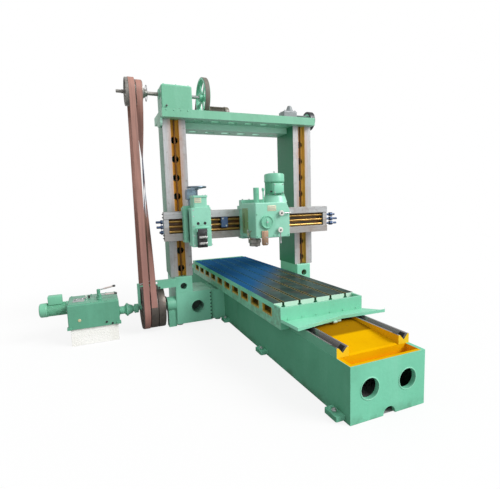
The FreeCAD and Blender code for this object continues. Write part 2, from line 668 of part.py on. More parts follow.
# Flat belts: an open one and a crossed one down to the floor, a short one on the beam.
g = s.belt_gap
node("open_belt", made(belt_loop(s.top_y, s.top_z, s.top_r + g, s.low_y, s.low_z, s.low_r + g,
                                 -outer - s.open_out, s.belt_width, s.belt_thick)))
node("crossed_belt", made(crossed_loop(s.top_y, s.top_z, s.cross_top_r + s.cross_gap, s.low_y,
                                       s.low_z, s.low_r + s.cross_gap, -outer - s.cross_out,
                                       s.belt_width, s.belt_thick)))
node("elevating_belt", made(belt_loop(s.top_y, s.top_z, s.wheel_r + g, s.motor_y, s.motor_z,
                                      s.motor_pulley_r + g, wheel_mid, 54, s.belt_thick)))
node("motor_pulley", fuse(rod("X", motor, s.motor_pulley_r, (wheel_x[0] + 2, wheel_x[1] + 10)),
                          rod("X", motor, 16, (wheel_x[1] + 9, motor_x0))))

# Belt shifter bracket and the floor shaft's bearing on the left pedestal.
plate_x = -outer - 400
node("belt_bracket", fuse(soften(box((plate_x - 28, plate_x), (-110, -60), (360, 632)),
                                 s.edge_r, "X"),
                          box((plate_x - 10, -ped_outer - 90), (-100, -85), (590, 606)),
                          box((-outer - 183, -ped_outer), (-100, -70), (540, 634)),
                          box((-outer - 260, -ped_outer), (-96, -62), (633, 647)),
                          box((-ped_outer - 40, -ped_outer), (-100, 40), (540, 634))))
node("drive_bearing", cut(fuse(rod("X", floor_axle, 92, (-ped_outer - 108, -ped_outer)),
                               box((-ped_outer - 98, -ped_outer), (0, 120), (0, 220))),
                          rod("X", floor_axle, s.low_shaft_r + fit,
                              (-ped_outer - 115, -ped_outer - 34))))

# Feed gearbox beside the machine, on a block that carries it at the shaft's height.
node("gearbox_plinth", box((case_far + s.plinth_in, case_near - s.plinth_in),
                           (s.case_front + s.plinth_in, s.case_back - s.plinth_in),
                           (0, s.case_low)))
case = soften(box((case_far, case_near), (s.case_front, s.case_back), (s.case_low, s.case_high)),
              s.edge_r, "XYZ", lambda middle: middle.z > s.case_low.value + 5)
case = cut(case, rod("X", floor_axle, s.low_shaft_r + fit, (case_near - 60, case_near + 5)))
plate = box((case_far + 50, case_far + 185), (-70, 120), (s.case_high, s.case_high + 8))
feet = [box((x, x + 45), (y, y + 60), (s.case_low, s.case_low + 28))
        for x in (case_far - 12, case_near - 33) for y in (s.case_front - 14, s.case_back - 46)]
node("feed_gearbox", fuse(case, plate, *feet))
feed_axle = (s.feed_motor_y, s.case_high - s.feed_motor_drop)
fan_cover = soften(rod("X", feed_axle, s.feed_motor_r + 10, (case_far - 292, case_far - 212)),
                   s.case_r, "O",
                   lambda middle: middle.x < number(case_far) - 250)
terminal_box = soften(box((case_far - 200, case_far - 55), (s.feed_motor_y - 50, s.feed_motor_y + 50),
                          (s.case_high - 10, s.case_high + 92)), s.edge_r, "XYZ")
node("feed_motor", fuse(rod("X", feed_axle, s.feed_motor_r, (case_far - 220, case_far)), fan_cover,
                        rod("X", feed_axle, s.feed_motor_r + 12, (case_far - 26, case_far)),
                        terminal_box))
for name, x, y, high, rise in (("gearbox_lever_a", case_near - 212, 60, 97, 32),
                               ("gearbox_lever_b", case_near - 202, -50, 62, 0)):
    top = s.case_high
    reach = 175
    thick = 9
    arm_z = top + high
    arm = prism("XZ", [(x, arm_z - thick), (x + reach, arm_z - thick + rise),
                       (x + reach, arm_z + thick + rise), (x, arm_z + thick)],
                (dim(y) - thick, dim(y) + thick))
    post = rod("Z", (x, y), 20, (top, arm_z + 12))
    collar = rod("Z", (x, y), 28, (top, top + 26))
    knob = rod("X", (y, arm_z + rise), 14, (x + reach - 4, x + reach + 22))
    node(name, fuse(post, collar, arm, knob))

# Cross-rail: guide face with lips, recess with three shafts, nuts in the columns' recesses.
rail_half = outer + s.rail_over
recess_back = s.rail_front + s.rail_recess_deep
rail_outline = [(s.rail_front, s.rail_low), (-gap, s.rail_low), (-gap, s.rail_high),
                (s.rail_front, s.rail_high), (s.rail_front, s.rail_recess_high),
                (recess_back, s.rail_recess_high), (recess_back, s.rail_recess_low),
                (s.rail_front, s.rail_recess_low)]
rail_parts = [prism("YZ", rail_outline, (-rail_half, rail_half))]
rail_cuts = []
for side, name in SIDES:
    rail_parts.append(box(both(rail_half - 60, rail_half, side),
                          (s.rail_front + 12, recess_back + 1),
                          (s.rail_recess_low - 1, s.rail_recess_high + 1)))
    rail_parts.append(box(both(recess_x - 38, recess_x + 38, side), (-gap - 1, s.recess_deep - 5),
                          (s.rail_low + 60, s.rail_high - 60)))
    rail_cuts.append(rod("Z", (recess_x * side, s.screw_y), s.screw_r + 0.4,
                         (s.rail_low, s.rail_high)))
    end = [(rail_half + 5, s.rail_front + 60), (rail_half + 5, 5), (outer + 30, 5),
           (rail_half, s.rail_front + 60)]
    rail_cuts.append(prism("XY", [(u * side, v) for u, v in end],
                           (s.rail_low - 5, s.rail_high + 5)))
SHAFT_Z = [s.rail_recess_high - 35, s.rail_recess_high - 96, s.rail_recess_low + 20]
for z in SHAFT_Z:
    rail_cuts.append(rod("X", (s.rail_shaft_y, z), s.rail_shaft_r + fit,
                         (-rail_half - 5, rail_half + 5)))
node("cross_rail", cut(fuse(*rail_parts), *rail_cuts))
shafts = []
for i, z in enumerate(SHAFT_Z):
    left, right = -rail_half - (87, 81, 50)[i], rail_half + (150, 190, 180)[i]
    shafts.append(fuse(rod("X", (s.rail_shaft_y, z), s.rail_shaft_r, (left, right)),
                       rod("X", (s.rail_shaft_y, z), 28, (rail_half + 60, rail_half + 110)),
                       rod("X", (s.rail_shaft_y, z), 26, (-rail_half - 34, -rail_half - 12))))
node("rail_shafts", group(*shafts))
clamp_x = s.tool_x + 330
node("rail_clamp", cut(box((clamp_x, clamp_x + 84), (s.rail_front + 5, recess_back),
                           (s.rail_recess_low + 45, s.rail_recess_high - 3)),
                       *[rod("X", (s.rail_shaft_y, z), s.rail_shaft_r, (clamp_x - 10, clamp_x + 90))
                         for z in SHAFT_Z]))


def saddle(x0, x1, front, top):
    """Carriage plate with lips over and under the rail."""
    back = s.rail_front - gap
    low = s.rail_low - s.saddle_drop
    plate = soften(box((x0, x1), (front, back), (low, top)), s.edge_r, "Y",
                   lambda middle: middle.z > s.rail_high.value)
    return [plate,
            box((x0, x1), (back - 1, s.rail_front + 70), (s.rail_high + gap, s.rail_high + 45)),
            box((x0, x1), (back - 1, s.rail_front + 60), (low, s.rail_low - gap))]


# Tool head for planing on the left side of the cross-rail.
tool_left, tool_right = s.tool_x - 158, s.tool_x + 157
node("tool_saddle", fuse(*saddle(tool_left, tool_right, s.tool_plane, s.saddle_top - 52)))
tm_x = s.tool_x - 43
tm_z = s.saddle_top + 20
tm_y = s.rail_front + 63
tool_motor_case = soften(box((tm_x - 60, tm_x + 60), (tm_y - 113, tm_y), (tm_z, tm_z + 120)),
                         s.edge_r, "XYZ")
tool_motor_foot = box((tm_x - 35, tm_x + 35), (tm_y - 105, tm_y - 30), (s.saddle_top - 52, tm_z + 1))
node("tool_motor", fuse(tool_motor_case, tool_motor_foot))
neck_z = s.saddle_top + 63
slide_low = soften(box((s.tool_x - 112, s.tool_x + 122), (s.tool_front, s.tool_plane - gap),
                       (1075, neck_z - 138)), s.edge_r, "YZ", lambda middle: middle.y < -360)
neck = soften(box((s.tool_x - 81, s.tool_x + 85), (s.tool_front + 10, s.tool_plane - gap),
                  (neck_z - 139, neck_z)), s.case_r, "Z")
cap = soften(box((s.tool_x - 88, s.tool_x + 92), (s.tool_front + 2, s.tool_plane - gap),
                 (neck_z - 24, neck_z)), s.case_r, "Z")
hinge_half = s.clapper_half
hinge_y = s.tool_front - gap - s.hinge_r - 0.3
pin = (hinge_y, s.hinge_z)
ears = []
for side in (-1, 1):
    ear_x = (s.tool_x + side * (hinge_half + 5) - 4, s.tool_x + side * (hinge_half + 5) + 4)
    ear = fuse(box(ear_x, (hinge_y, s.tool_front + 1), (s.hinge_z - s.hinge_r, s.hinge_z + s.hinge_r)),
               rod("X", pin, s.hinge_r, ear_x))
    ears.append(cut(ear, rod("X", pin, s.pin_r + fit, (ear_x[0] - 1, ear_x[1] + 1))))
node("tool_slide", fuse(slide_low, neck, cap, *ears))
clapper_x = (s.tool_x - hinge_half, s.tool_x + hinge_half)
node("tool_clapper", fuse(box(clapper_x, (hinge_y - s.hinge_r, hinge_y + s.hinge_r),
                              (s.clapper_low, s.hinge_z)),
                          rod("X", pin, s.hinge_r, clapper_x),
                          rod("X", pin, s.pin_r, (clapper_x[0] - 12, clapper_x[1] + 12))))
hand = (s.tool_x - 15, s.handwheel_y)
hand_z = neck_z + 93
spokes = []
for x, y in ((1, 0), (-1, 0), (0, 1), (0, -1)):
    slant = [(16, hand_z - 22), (s.handwheel_r - 4, hand_z - 2), (s.handwheel_r - 4, hand_z + 8),
             (16, hand_z - 10)]
    if x:
        spokes.append(prism("XZ", [(hand[0] + x * u, v) for u, v in slant],
                            (hand[1] - 6, hand[1] + 6)))
    else:
        spokes.append(prism("YZ", [(hand[1] + y * u, v) for u, v in slant],
                            (hand[0] - 6, hand[0] + 6)))
node("tool_handwheel", fuse(ring((hand[0], hand[1], hand_z + 3), s.handwheel_r, 11),
                            rod("Z", hand, 24, (hand_z - 26, hand_z - 4)),
                            rod("Z", hand, 11, (neck_z + gap, hand_z - 25)), *spokes))

# Milling head on the right side of the cross-rail.
mill_x = (s.mill_left, s.mill_right)
mill_parts = saddle(mill_x[0], mill_x[1], s.tool_plane, s.saddle_top)
mill_case = box(mill_x, (s.mill_front, s.rail_front - gap), (s.mill_low, s.mill_high))
mill_parts.append(soften(mill_case, s.edge_r, "XYZ", lambda middle: middle.y < -320))
motor_axis = (s.motor_x, s.mill_motor_y)
motor_low = s.saddle_top + s.mill_motor_rise
mount = cone("Z", motor_axis, (152, 126), (s.mill_high - 1, motor_low))
chamfer = prism("XZ", [(s.mill_right - 44, s.mill_high + 1), (s.mill_right + 1, s.mill_high + 1),
                       (s.mill_right + 1, s.mill_high - 97)], (s.mill_front - 1, s.tool_plane))
spindle = (s.spindle_x, s.spindle_y)
socket_top = s.mill_low + 150
bore = rod("Z", spindle, s.spindle_r + fit, (s.mill_low - 5, socket_top))
node("mill_head", cut(fuse(cut(fuse(*mill_parts), chamfer), mount), bore))
nose_z = s.mill_low - s.nose_drop
node("mill_spindle", fuse(rod("Z", spindle, s.spindle_r, (s.mill_low - 40, socket_top - gap)),
                          rod("Z", spindle, s.spindle_r + 16, (nose_z + 40, s.mill_low - 25)),
                          rod("Z", spindle, s.spindle_r + 4, (nose_z, nose_z + 41))))
motor_top = soften(rod("Z", motor_axis, s.mill_motor_r + 7, (motor_low + 164, motor_low + 265)),
                   s.edge_r, "O", lambda middle: middle.z > motor_low.value + 200)
motor_box = soften(box((s.motor_x - 83, s.motor_x + 57), (s.mill_motor_y - 145, s.mill_motor_y),
                       (motor_low + 24, motor_low + 147)), s.edge_r, "XYZ")
node("mill_motor", fuse(rod("Z", motor_axis, s.mill_motor_r, (motor_low, motor_low + 165)),
                        rod("Z", motor_axis, s.mill_motor_r + 9, (motor_low, motor_low + 12)),
                        motor_top, motor_box))
tube = (s.spindle_x + 35, s.spindle_y)
node("mill_tube", rod("Z", tube, 34, (s.mill_high, s.mill_high + 180)))
boss = (s.spindle_x + 76, s.mill_low + 187)
rim_y = (s.mill_front - 27, s.mill_front - 19)
node("mill_boss", fuse(rod("Y", boss, s.boss_r, (rim_y[1] - 1, s.mill_front)),
                       cut(rod("Y", boss, s.boss_r, rim_y),
                           rod("Y", boss, s.boss_r - 20, (rim_y[0] - 3, rim_y[1] + 1)))))
scale_low, scale_high = s.mill_low - 84, s.mill_low + 87
scale_x = (s.spindle_x + 7, s.spindle_x + 89)
scale = [(scale_x[0], scale_low + 16), (scale_x[0] + 13, scale_low), (scale_x[1] - 13, scale_low),
         (scale_x[1], scale_low + 16), (scale_x[1], scale_high), (scale_x[0], scale_high)]
node("mill_dial", prism("XZ", scale, (s.mill_front - 12, s.mill_front)))
lever_y = s.mill_front - s.lever_back
for name, x, z, way in (("mill_lever_a", 138, 1435, "X"), ("mill_lever_b", 120, 1238, "Z")):
    hub = fuse(rod("Y", (x, z), s.knob_r, (s.mill_front - 40, s.mill_front - 14)),
               rod("Y", (x, z), 20, (s.mill_front - 15, s.mill_front)))
    if way == "X":
        arm = fuse(rod("X", (lever_y, z), 7, (x, x + 112)),
                   rod("X", (lever_y, z), 11, (x + 100, x + 125)))
    else:
        arm = fuse(rod("Z", (x, lever_y), 7, (z - 140, z)),
                   rod("Z", (x, lever_y), 11, (z - 160, z - 130)))
    node(name, fuse(hub, arm))

doc.recompute()
for obj in doc.Objects:
    if "Invalid" in obj.State or "Error" in obj.State:
        raise RuntimeError("not built: %s %s" % (obj.Name, obj.State))
os.makedirs("parts", exist_ok=True)
for name, obj in NODES.items():
    shape = obj.Shape
    if shape.isNull() or not shape.isValid():
        raise RuntimeError("bad shape: " + name)
    shape.exportStep("parts/%s.step" % name)
    print("%-20s solids %2d  volume %.4f m3" % (name, len(shape.Solids), shape.Volume / 1e9))
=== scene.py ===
import math
from functools import cached_property
from itertools import product
import bmesh
import bpy
from mathutils import Matrix, Vector


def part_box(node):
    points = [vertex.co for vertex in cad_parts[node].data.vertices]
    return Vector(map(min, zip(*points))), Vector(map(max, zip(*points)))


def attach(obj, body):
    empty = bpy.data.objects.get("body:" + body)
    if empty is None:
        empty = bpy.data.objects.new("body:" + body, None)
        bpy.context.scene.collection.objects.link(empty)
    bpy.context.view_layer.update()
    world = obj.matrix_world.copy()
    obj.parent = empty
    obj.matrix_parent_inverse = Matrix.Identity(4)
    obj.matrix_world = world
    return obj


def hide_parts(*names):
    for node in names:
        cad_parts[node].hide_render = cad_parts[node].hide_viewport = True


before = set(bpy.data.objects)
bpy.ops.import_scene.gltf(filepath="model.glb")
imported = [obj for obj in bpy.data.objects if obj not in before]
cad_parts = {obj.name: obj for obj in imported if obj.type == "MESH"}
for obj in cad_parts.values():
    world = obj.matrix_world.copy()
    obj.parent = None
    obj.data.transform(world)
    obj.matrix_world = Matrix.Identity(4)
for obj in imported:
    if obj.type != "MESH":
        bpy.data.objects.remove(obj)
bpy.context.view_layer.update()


# Places taken from the frame, in metres.
def corners(node):
    """Lowest and highest corner of a CAD node."""
    low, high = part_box(node)
    return Vector(low), Vector(high)


BED = corners("bed")
TABLE = corners("table")
BEAM = corners("top_beam")
RAIL = corners("cross_rail")
SADDLE = corners("tool_saddle")
SLIDE = corners("tool_slide")
FLOOR_FRONT, FLOOR_REAR = [corner.y for corner in corners("bed_ways")]
INNER = corners("column_right")[0].x
RECESS_X = INNER + 0.1365
HALF_BED = 0.345
SLOT_PITCH = corners("table_deck")[1].x * 0.39
SIDES = {-1: "left", 1: "right"}
OUTWARD = {-1: "-x", 1: "+x"}

# Colours as read off the photograph.
MINT = "80d0b0"
MINT_PALE = "9edec4"
MINT_DEEP = "549e7c"
# Deep green painted as the shade on side faces.
PAINTED_SHADE_GREEN = "266440"
DIRT = "424630"
YELLOW = "e4ae06"
YELLOW_DEEP = "c48404"
OCHRE = "e8ac30"
OCHRE_DEEP = "8a5a24"
IRON_PALE = "ced0d2"
IRON_GREY = "969292"
RUST = "78543c"
# Blue of a painted reflection on the table top.
BLUE_REFLECTION = "205482"
BLUE_REFLECTION_PALE = "44769e"
BLACK = "161616"
WHITE = "eceae2"


def paint_colour(code):
    """Six hex digits to the linear colour that a shader takes."""
    def linear(value):
        value /= 255
        return value / 12.92 if value <= 0.04045 else ((value + 0.055) / 1.055) ** 2.4
    return (*map(linear, bytes.fromhex(code)), 1.0)


class Value:
    """A socket that sums can be written with: noise * 0.4 + 0.2 adds the Math nodes."""

    def __init__(self, finish, socket):
        self.finish = finish
        self.socket = socket

    def _sum(self, operation, first, second):
        return self.finish.node("ShaderNodeMath", {"operation": operation}, {0: first, 1: second})

    def __add__(self, other):
        return self._sum("ADD", self, other)

    __radd__ = __add__

    def __sub__(self, other):
        return self._sum("SUBTRACT", self, other)

    def __rsub__(self, other):
        return self._sum("SUBTRACT", other, self)

    def __mul__(self, other):
        return self._sum("MULTIPLY", self, other)

    __rmul__ = __mul__

    def __gt__(self, other):
        return self._sum("GREATER_THAN", self, other)

    def __lt__(self, other):
        return self._sum("LESS_THAN", self, other)

    def __abs__(self):
        return self._sum("ABSOLUTE", self, 0.0)

    def between(self, low, high):
        """0 below low, 1 above high, smooth from one to the other."""
        settings = {"interpolation_type": "SMOOTHSTEP"}
        return self.finish.node("ShaderNodeMapRange", settings, {0: self, 1: low, 2: high})

    def larger(self, other):
        return self._sum("MAXIMUM", self, other)

    def wave(self, pitch):
        """Distance from the nearest multiple of pitch."""
        return self._sum("PINGPONG", self, pitch / 2)


class Finish:
    """One material: its colour, gloss and relief over the object's own coordinates."""
    # Share of the clear coat, which a zones function may lower.
    gloss = 1.0

    def __init__(self, name, owner=None):
        self.material = owner or bpy.data.materials.new(name)
        self.material.use_nodes = True
        self.tree = self.material.node_tree
        self.tree.nodes.clear()

    @cached_property
    def place(self):
        return self.node("ShaderNodeTexCoord", out="Object")

    @cached_property
    def facing(self):
        return self.node("ShaderNodeNewGeometry", out="Normal")

    @cached_property
    def x(self):
        return self.part(self.place, 0)

    @cached_property
    def y(self):
        return self.part(self.place, 1)

    @cached_property
    def z(self):
        return self.part(self.place, 2)

    def part(self, vector, axis):
        return self.node("ShaderNodeSeparateXYZ", {}, {0: vector}, out=axis)

    def toward(self, axis):
        """How far the face looks along an axis, 0 to 2 for x, y and z."""
        return self.part(self.facing, axis)

    def node(self, kind, settings=None, values=None, out=0):
        """Any node: settings first, then its sockets' values, hex colours or links."""
        made = self.tree.nodes.new(kind)
        for key, setting in (settings or {}).items():
            setattr(made, key, setting)
        for key, value in (values or {}).items():
            if isinstance(value, Value):
                self.tree.links.new(value.socket, made.inputs[key])
            else:
                made.inputs[key].default_value = paint_colour(value) if isinstance(value, str) else value
        return Value(self, made.outputs[out]) if made.outputs else None

    def noise(self, scale, detail=3.0, roughness=0.55, stretch=(1, 1, 1)):
        """Cloudy grain, finer with a larger scale, drawn out along an axis by a small stretch."""
        where = self.node("ShaderNodeMapping", {}, {"Vector": self.place, "Scale": stretch})
        return self.node("ShaderNodeTexNoise", {}, {"Vector": where, "Scale": scale, "Detail": detail,
                                                    "Roughness": roughness})

    def mix(self, first, second, mask):
        """First colour where mask is 0 and second where it is 1."""
        return self.node("ShaderNodeMix", {"data_type": "RGBA"}, {0: mask, 6: first, 7: second}, 2)

    def rounded(self, width):
        return self.node("ShaderNodeBevel", {"samples": 4}, {"Radius": width})

    def edges(self, width, low=0.02, high=0.25):
        """1 on corners and in creases about width wide."""
        same = self.node("ShaderNodeVectorMath", {"operation": "DOT_PRODUCT"},
                         {0: self.rounded(width), 1: self.facing}, "Value")
        return (1.0 - same).between(low, high)

    def done(self, colour, roughness, metallic=0.0, relief=None, height=0.001, soft=0.0,
             coat=0.0, coat_rough=0.15, level=1.0):
        """Joins the parts to the surface and gives the material."""
        bump = {"Height": relief, "Distance": height, "Strength": 1.0}
        if soft:
            bump["Normal"] = self.rounded(soft)
        values = {"Base Color": colour, "Roughness": roughness, "Metallic": metallic,
                  "Coat Weight": coat, "Coat Roughness": coat_rough, "Specular IOR Level": level,
                  "Normal": self.node("ShaderNodeBump", {}, bump)}
        shader = self.node("ShaderNodeBsdfPrincipled", {}, values)
        self.node("ShaderNodeOutputMaterial", {}, {"Surface": shader})
        return self.material


def inside(value, low, high, blur=0.001):
    """1 where value lies from low to high."""
    return value.between(low - blur, low + blur) * (1.0 - value.between(high - blur, high + blur))


# Finishes.
def enamel(name, main=MINT, pale=MINT_PALE, deep=MINT_DEEP, soft=0.004, grime=0.35, zones=None,
           coat=0.12, level=0.7):
    """Enamel over cast iron: soft mottle, pale edges of rubbed paint and painted highlight, with chips, smears
    of grime.
    """
    f = Finish(name)
    cloud = f.noise(1.6, 4).between(0.3, 0.7)
    grain = f.noise(38, 3).between(0.25, 0.75)
    streak = f.noise(7, 3, stretch=(1, 1, 0.12)).between(0.45, 0.75)
    colour = f.mix(main, deep, cloud * 0.22 + grain * 0.08)
    colour = f.mix(colour, pale, streak * 0.18)
    # Pale edges and creases: rubbed paint and a painted highlight.
    colour = f.mix(colour, pale, f.edges(0.007) * 0.55)
    chip = f.noise(55, 4).between(0.62, 0.68) * f.edges(0.012) * 0.8
    colour = f.mix(colour, DIRT, chip)
    smear = f.noise(3.2, 6, 0.65).between(0.52, 0.85)
    colour = f.mix(colour, DIRT, smear * grime * 0.4)
    rough = 0.3 + grain * 0.12 + cloud * 0.08 + chip * 0.3
    relief = grain * 0.35 + cloud * 0.9 + f.noise(240, 2) * 0.18
    metallic = 0.0
    if zones:
        colour, rough, metallic = zones(f, colour, rough)
    return f.done(colour, rough, metallic, relief, 0.0012, soft, coat * f.gloss, 0.2, level)


def machined(f, tone, along, rust):
    """Colour and gloss of ground cast iron with scraping marks along an axis and brown stains."""
    stretch = [14.0, 14.0, 14.0]
    stretch[along] = 0.7
    lines = f.noise(6, 4, stretch=stretch).between(0.3, 0.7)
    patch = f.noise(3.0, 6, 0.65).between(0.48, 0.72)
    spots = f.noise(26, 4).between(0.56, 0.72)
    colour = f.mix(tone, IRON_GREY, lines * 0.35)
    colour = f.mix(colour, RUST, patch * rust * 0.55)
    return f.mix(colour, RUST, spots * rust * 0.45), 0.34 + patch * 0.22


def bed_zones(f, colour, rough):
    """Yellow floor between the ways, browner further back; painted shade as deeper orange in the pits and as
    black inside the bed under the deck; painted shade on the outer side faces.
    """
    side = abs(f.x)
    pit = (f.y < FLOOR_FRONT + 0.0005) + (f.y > FLOOR_REAR - 0.0005)
    deck = 0.3705 - pit * 0.031
    within = (side < HALF_BED - 0.0345) * inside(f.y, BED[0].y + 0.0345, BED[1].y - 0.0345)
    # The floor turns browner further back.
    browner_back = f.y.between(FLOOR_FRONT + 0.29, FLOOR_FRONT + 0.33)
    yellow = f.mix(YELLOW, YELLOW_DEEP, f.noise(2.4, 5, 0.6).between(0.42, 0.66) * 0.3)
    yellow = f.mix(yellow, "8c620a", browner_back * 0.85)
    yellow = f.mix(yellow, DIRT, f.noise(14, 5).between(0.6, 0.8) * (0.06 + browner_back * 0.3))
    # Painted shade: deeper orange low in the pits and on the faces that look sideways in them.
    low = (1.0 - f.z.between(0.355, 0.405)) * pit
    pit_wall_shade = pit * abs(f.toward(0)).between(0.6, 0.9)
    yellow = f.mix(yellow, "e89e0a", low.larger(pit_wall_shade) * 0.7)
    # Painted shade: black inside the hollow bed below the deck.
    colour = f.mix(colour, BLACK, within * (f.z < deck) * 0.93)
    # Painted shade: the bed's outer side faces darker green.
    shaded_flank = abs(f.toward(0)).between(0.6, 0.9) * (side > HALF_BED - 0.01)
    colour = f.mix(colour, PAINTED_SHADE_GREEN, shaded_flank * 0.5)
    foot = 1.0 - f.z.between(0.0, 0.09)
    colour = f.mix(colour, DIRT, foot * f.noise(8, 5).between(0.35, 0.7) * 0.45)
    rim = (f.toward(2) > 0.5) * (f.z > 0.42) * pit * inside(f.x, -HALF_BED + 0.005, HALF_BED - 0.035)
    rim = rim * inside(f.y, BED[0].y + 0.006, BED[1].y - 0.006)
    painted = (within * (f.z > deck)).larger(rim)
    f.gloss = 1.0 - painted
    return f.mix(colour, yellow, painted), rough, 0.0


def way_finish():
    """Oiled dark guide tops with painted shade deeper in each V and on the left way, and a black oil recess
    painted as shade; yellow castings with painted light on their end faces.
    """
    f = Finish("way_iron")
    behind = f.y > FLOOR_FRONT + 0.0001
    top = (f.z > 0.4585) * behind * (f.toward(2) > 0.2)
    tone, gloss = machined(f, IRON_GREY, 1, 0.25)
    # Painted shade: darker deeper in each V; the right way lighter than the left as painted light.
    vee_shade = 1.0 - f.z.between(0.47, 0.503)
    tone = f.mix(tone, "40403e", 0.45 + vee_shade * 0.4 - (f.x > 0.0) * 0.32)
    across = f.x + ((f.x < 0.0) * 2.0 - 1.0) * (HALF_BED - 0.055)
    # Painted shade: a black oil recess near the front of each way, which is not modelled.
    pocket_shade = inside(f.y, FLOOR_FRONT + 0.02, FLOOR_FRONT + 0.075) * inside(across, -0.07, 0.034)
    yellow = f.mix(YELLOW, YELLOW_DEEP, f.noise(3, 5).between(0.4, 0.7) * 0.3)
    # Outer side faces: bed green darkened with painted shade, like the bed's.
    outer = (abs(f.x) > HALF_BED - 0.004) * behind
    yellow = f.mix(yellow, f.mix(MINT, PAINTED_SHADE_GREEN, 0.5), outer)
    # Painted light: paler yellow on the ways' front end faces.
    yellow = f.mix(yellow, "fada28", (1.0 - behind) * 0.6)
    colour = f.mix(f.mix(yellow, tone, top), BLACK, pocket_shade * top * 0.9)
    rough = 0.42 - top * 0.2 + gloss * 0.05
    relief = f.noise(90, 3, stretch=(1, 0.05, 1))
    return f.done(colour, rough, top * 0.6, relief, 0.0004, 0.003, level=0.3)


def column_zones(f, colour, rough):
    """Machined guide face; ochre recess with painted light and painted shade in the right column; painted
    shade, black, behind the round holes; deep green flanks as painted shade.
    """
    side = abs(f.x)
    front = (f.y < 0.0015) * (1.0 - f.toward(1).between(-0.6, -0.4))
    inner_left = (side < RECESS_X) * (f.x < 0.0)
    iron, gloss = machined(f, IRON_PALE, 2, 0.7 + inner_left * 0.9)
    iron = f.mix(iron, IRON_GREY, inner_left * 0.35)
    # Painted shade: deep green on the columns' side faces.
    shaded_flank = abs(f.toward(0)).between(0.6, 0.9) * ((side < INNER + 0.002) + (side > INNER + 0.2))
    colour = f.mix(colour, "1a7650", shaded_flank * 0.85)
    warm = 1.0 - abs(side - RECESS_X).between(0.055, 0.125)
    stain = f.noise(4, 5, 0.6, (1, 1, 0.3)).between(0.3, 0.7)
    iron = f.mix(iron, "c49880", warm * stain * 0.6)
    colour = f.mix(colour, iron, front)
    recess = inside(side, RECESS_X - 0.0525, RECESS_X + 0.0525, 0.0001) * inside(f.y, 0.0015, 0.0985)
    ochre = f.mix(OCHRE, OCHRE_DEEP, f.noise(5, 5, 0.6, (1, 1, 0.25)).between(0.35, 0.7) * 0.55)
    ochre = f.mix(ochre, DIRT, f.noise(20, 4).between(0.55, 0.75) * 0.4)
    # All recesses a paler ochre; in the right column, painted light on the lit right part and side face,
    # painted shade, deep ochre, on its left part.
    ochre = f.mix(ochre, "ffd064", 0.24 + (f.x > RECESS_X - 0.016) * 0.75)
    ochre = f.mix(ochre, OCHRE_DEEP, inside(f.x, RECESS_X - 0.06, RECESS_X - 0.016) * 0.5)
    colour = f.mix(colour, ochre, recess)
    # Painted shade: black inside the column, behind the round holes.
    hole = inside(side, RECESS_X - 0.05, RECESS_X + 0.05, 0.0001) * inside(f.y, 0.078, 0.4)
    colour = f.mix(colour, BLACK, hole)
    return colour, rough * (1.0 - front) + gloss * front + recess * 0.1, front * 0.45


def pedestal_zones(f, colour, rough):
    """Dusty top, painted shade inside the round windows, painted light on the left faces."""
    dark = (f.y > corners("pedestal_left")[0].y + 0.012) * (f.toward(2) < 0.5)
    inner = inside(abs(f.x), INNER - 0.13, INNER + 0.05) * inside(f.z, 0.15, 0.32)
    small = inside(abs(f.x), RECESS_X - 0.046, RECESS_X + 0.046) * inside(f.z, 0.48, 0.57)
    # Painted shade: black inside the round windows; the right pedestal's small window deep ochre instead.
    colour = f.mix(colour, BLACK, dark * inner.larger(small) * 0.92)
    colour = f.mix(colour, OCHRE_DEEP, dark * small * (f.x > 0.0) * 0.8)
    dust = f.toward(2).between(0.7, 0.95) * f.noise(5, 5).between(0.3, 0.7)
    colour = f.mix(colour, DIRT, dust * 0.35)
    # Painted light: paler on the faces that look to the left.
    colour = f.mix(colour, MINT_PALE, (f.toward(0) < -0.7) * 0.4)
    return colour, rough + dust * 0.2, 0.0


def beam_zones(f, colour, rough):
    """Painted light on the underside and lower front, dirt along the top flange."""
    # Painted light: paler on the faces that look down.
    colour = f.mix(colour, MINT_PALE, (1.0 - f.toward(2).between(-0.8, -0.3)) * 0.6)
    # Painted light: the lower front faces, in the beam's shade, made almost white mint.
    low = (f.z < BEAM[1].z - 0.1005) * (f.toward(1) < -0.5)
    colour = f.mix(colour, "c8fce8", low * 0.8)
    top = f.toward(2).between(0.6, 0.9) * (f.z > BEAM[1].z - 0.01)
    colour = f.mix(colour, DIRT, top * f.noise(9, 5).between(0.4, 0.75) * 0.5)
    return colour, rough, 0.0


def rail_zones(f, colour, rough):
    """Ground lips in front, dark ochre recess, brown cast sides, green back."""
    side = abs(f.x)
    lips = (f.y < RAIL[0].y + 0.0015).larger((side > RAIL[1].x - 0.061) * (f.toward(1) < -0.9))
    iron, gloss = machined(f, IRON_PALE, 0, 1.0)
    outside = (1.0 - f.y.between(-0.02, 0.0)) * (f.toward(1) < 0.5)
    cast = f.mix("7c746a", RUST, f.noise(9, 5).between(0.4, 0.7) * 0.6)
    colour = f.mix(colour, cast, outside * 0.9)
    colour = f.mix(colour, f.mix(iron, "968476", (f.z < 1.3) * 0.42), lips)
    recess = inside(f.z, 1.2255, 1.4025, 0.0004) * inside(f.y, RAIL[0].y + 0.002, -0.16, 0.0004)
    ochre = f.mix(OCHRE_DEEP, DIRT, f.noise(16, 5, 0.6, (0.3, 1, 1)).between(0.4, 0.7))
    colour = f.mix(colour, ochre, recess * (side < RAIL[1].x - 0.062))
    return colour, rough * (1.0 - lips) + gloss * lips, lips * 0.45


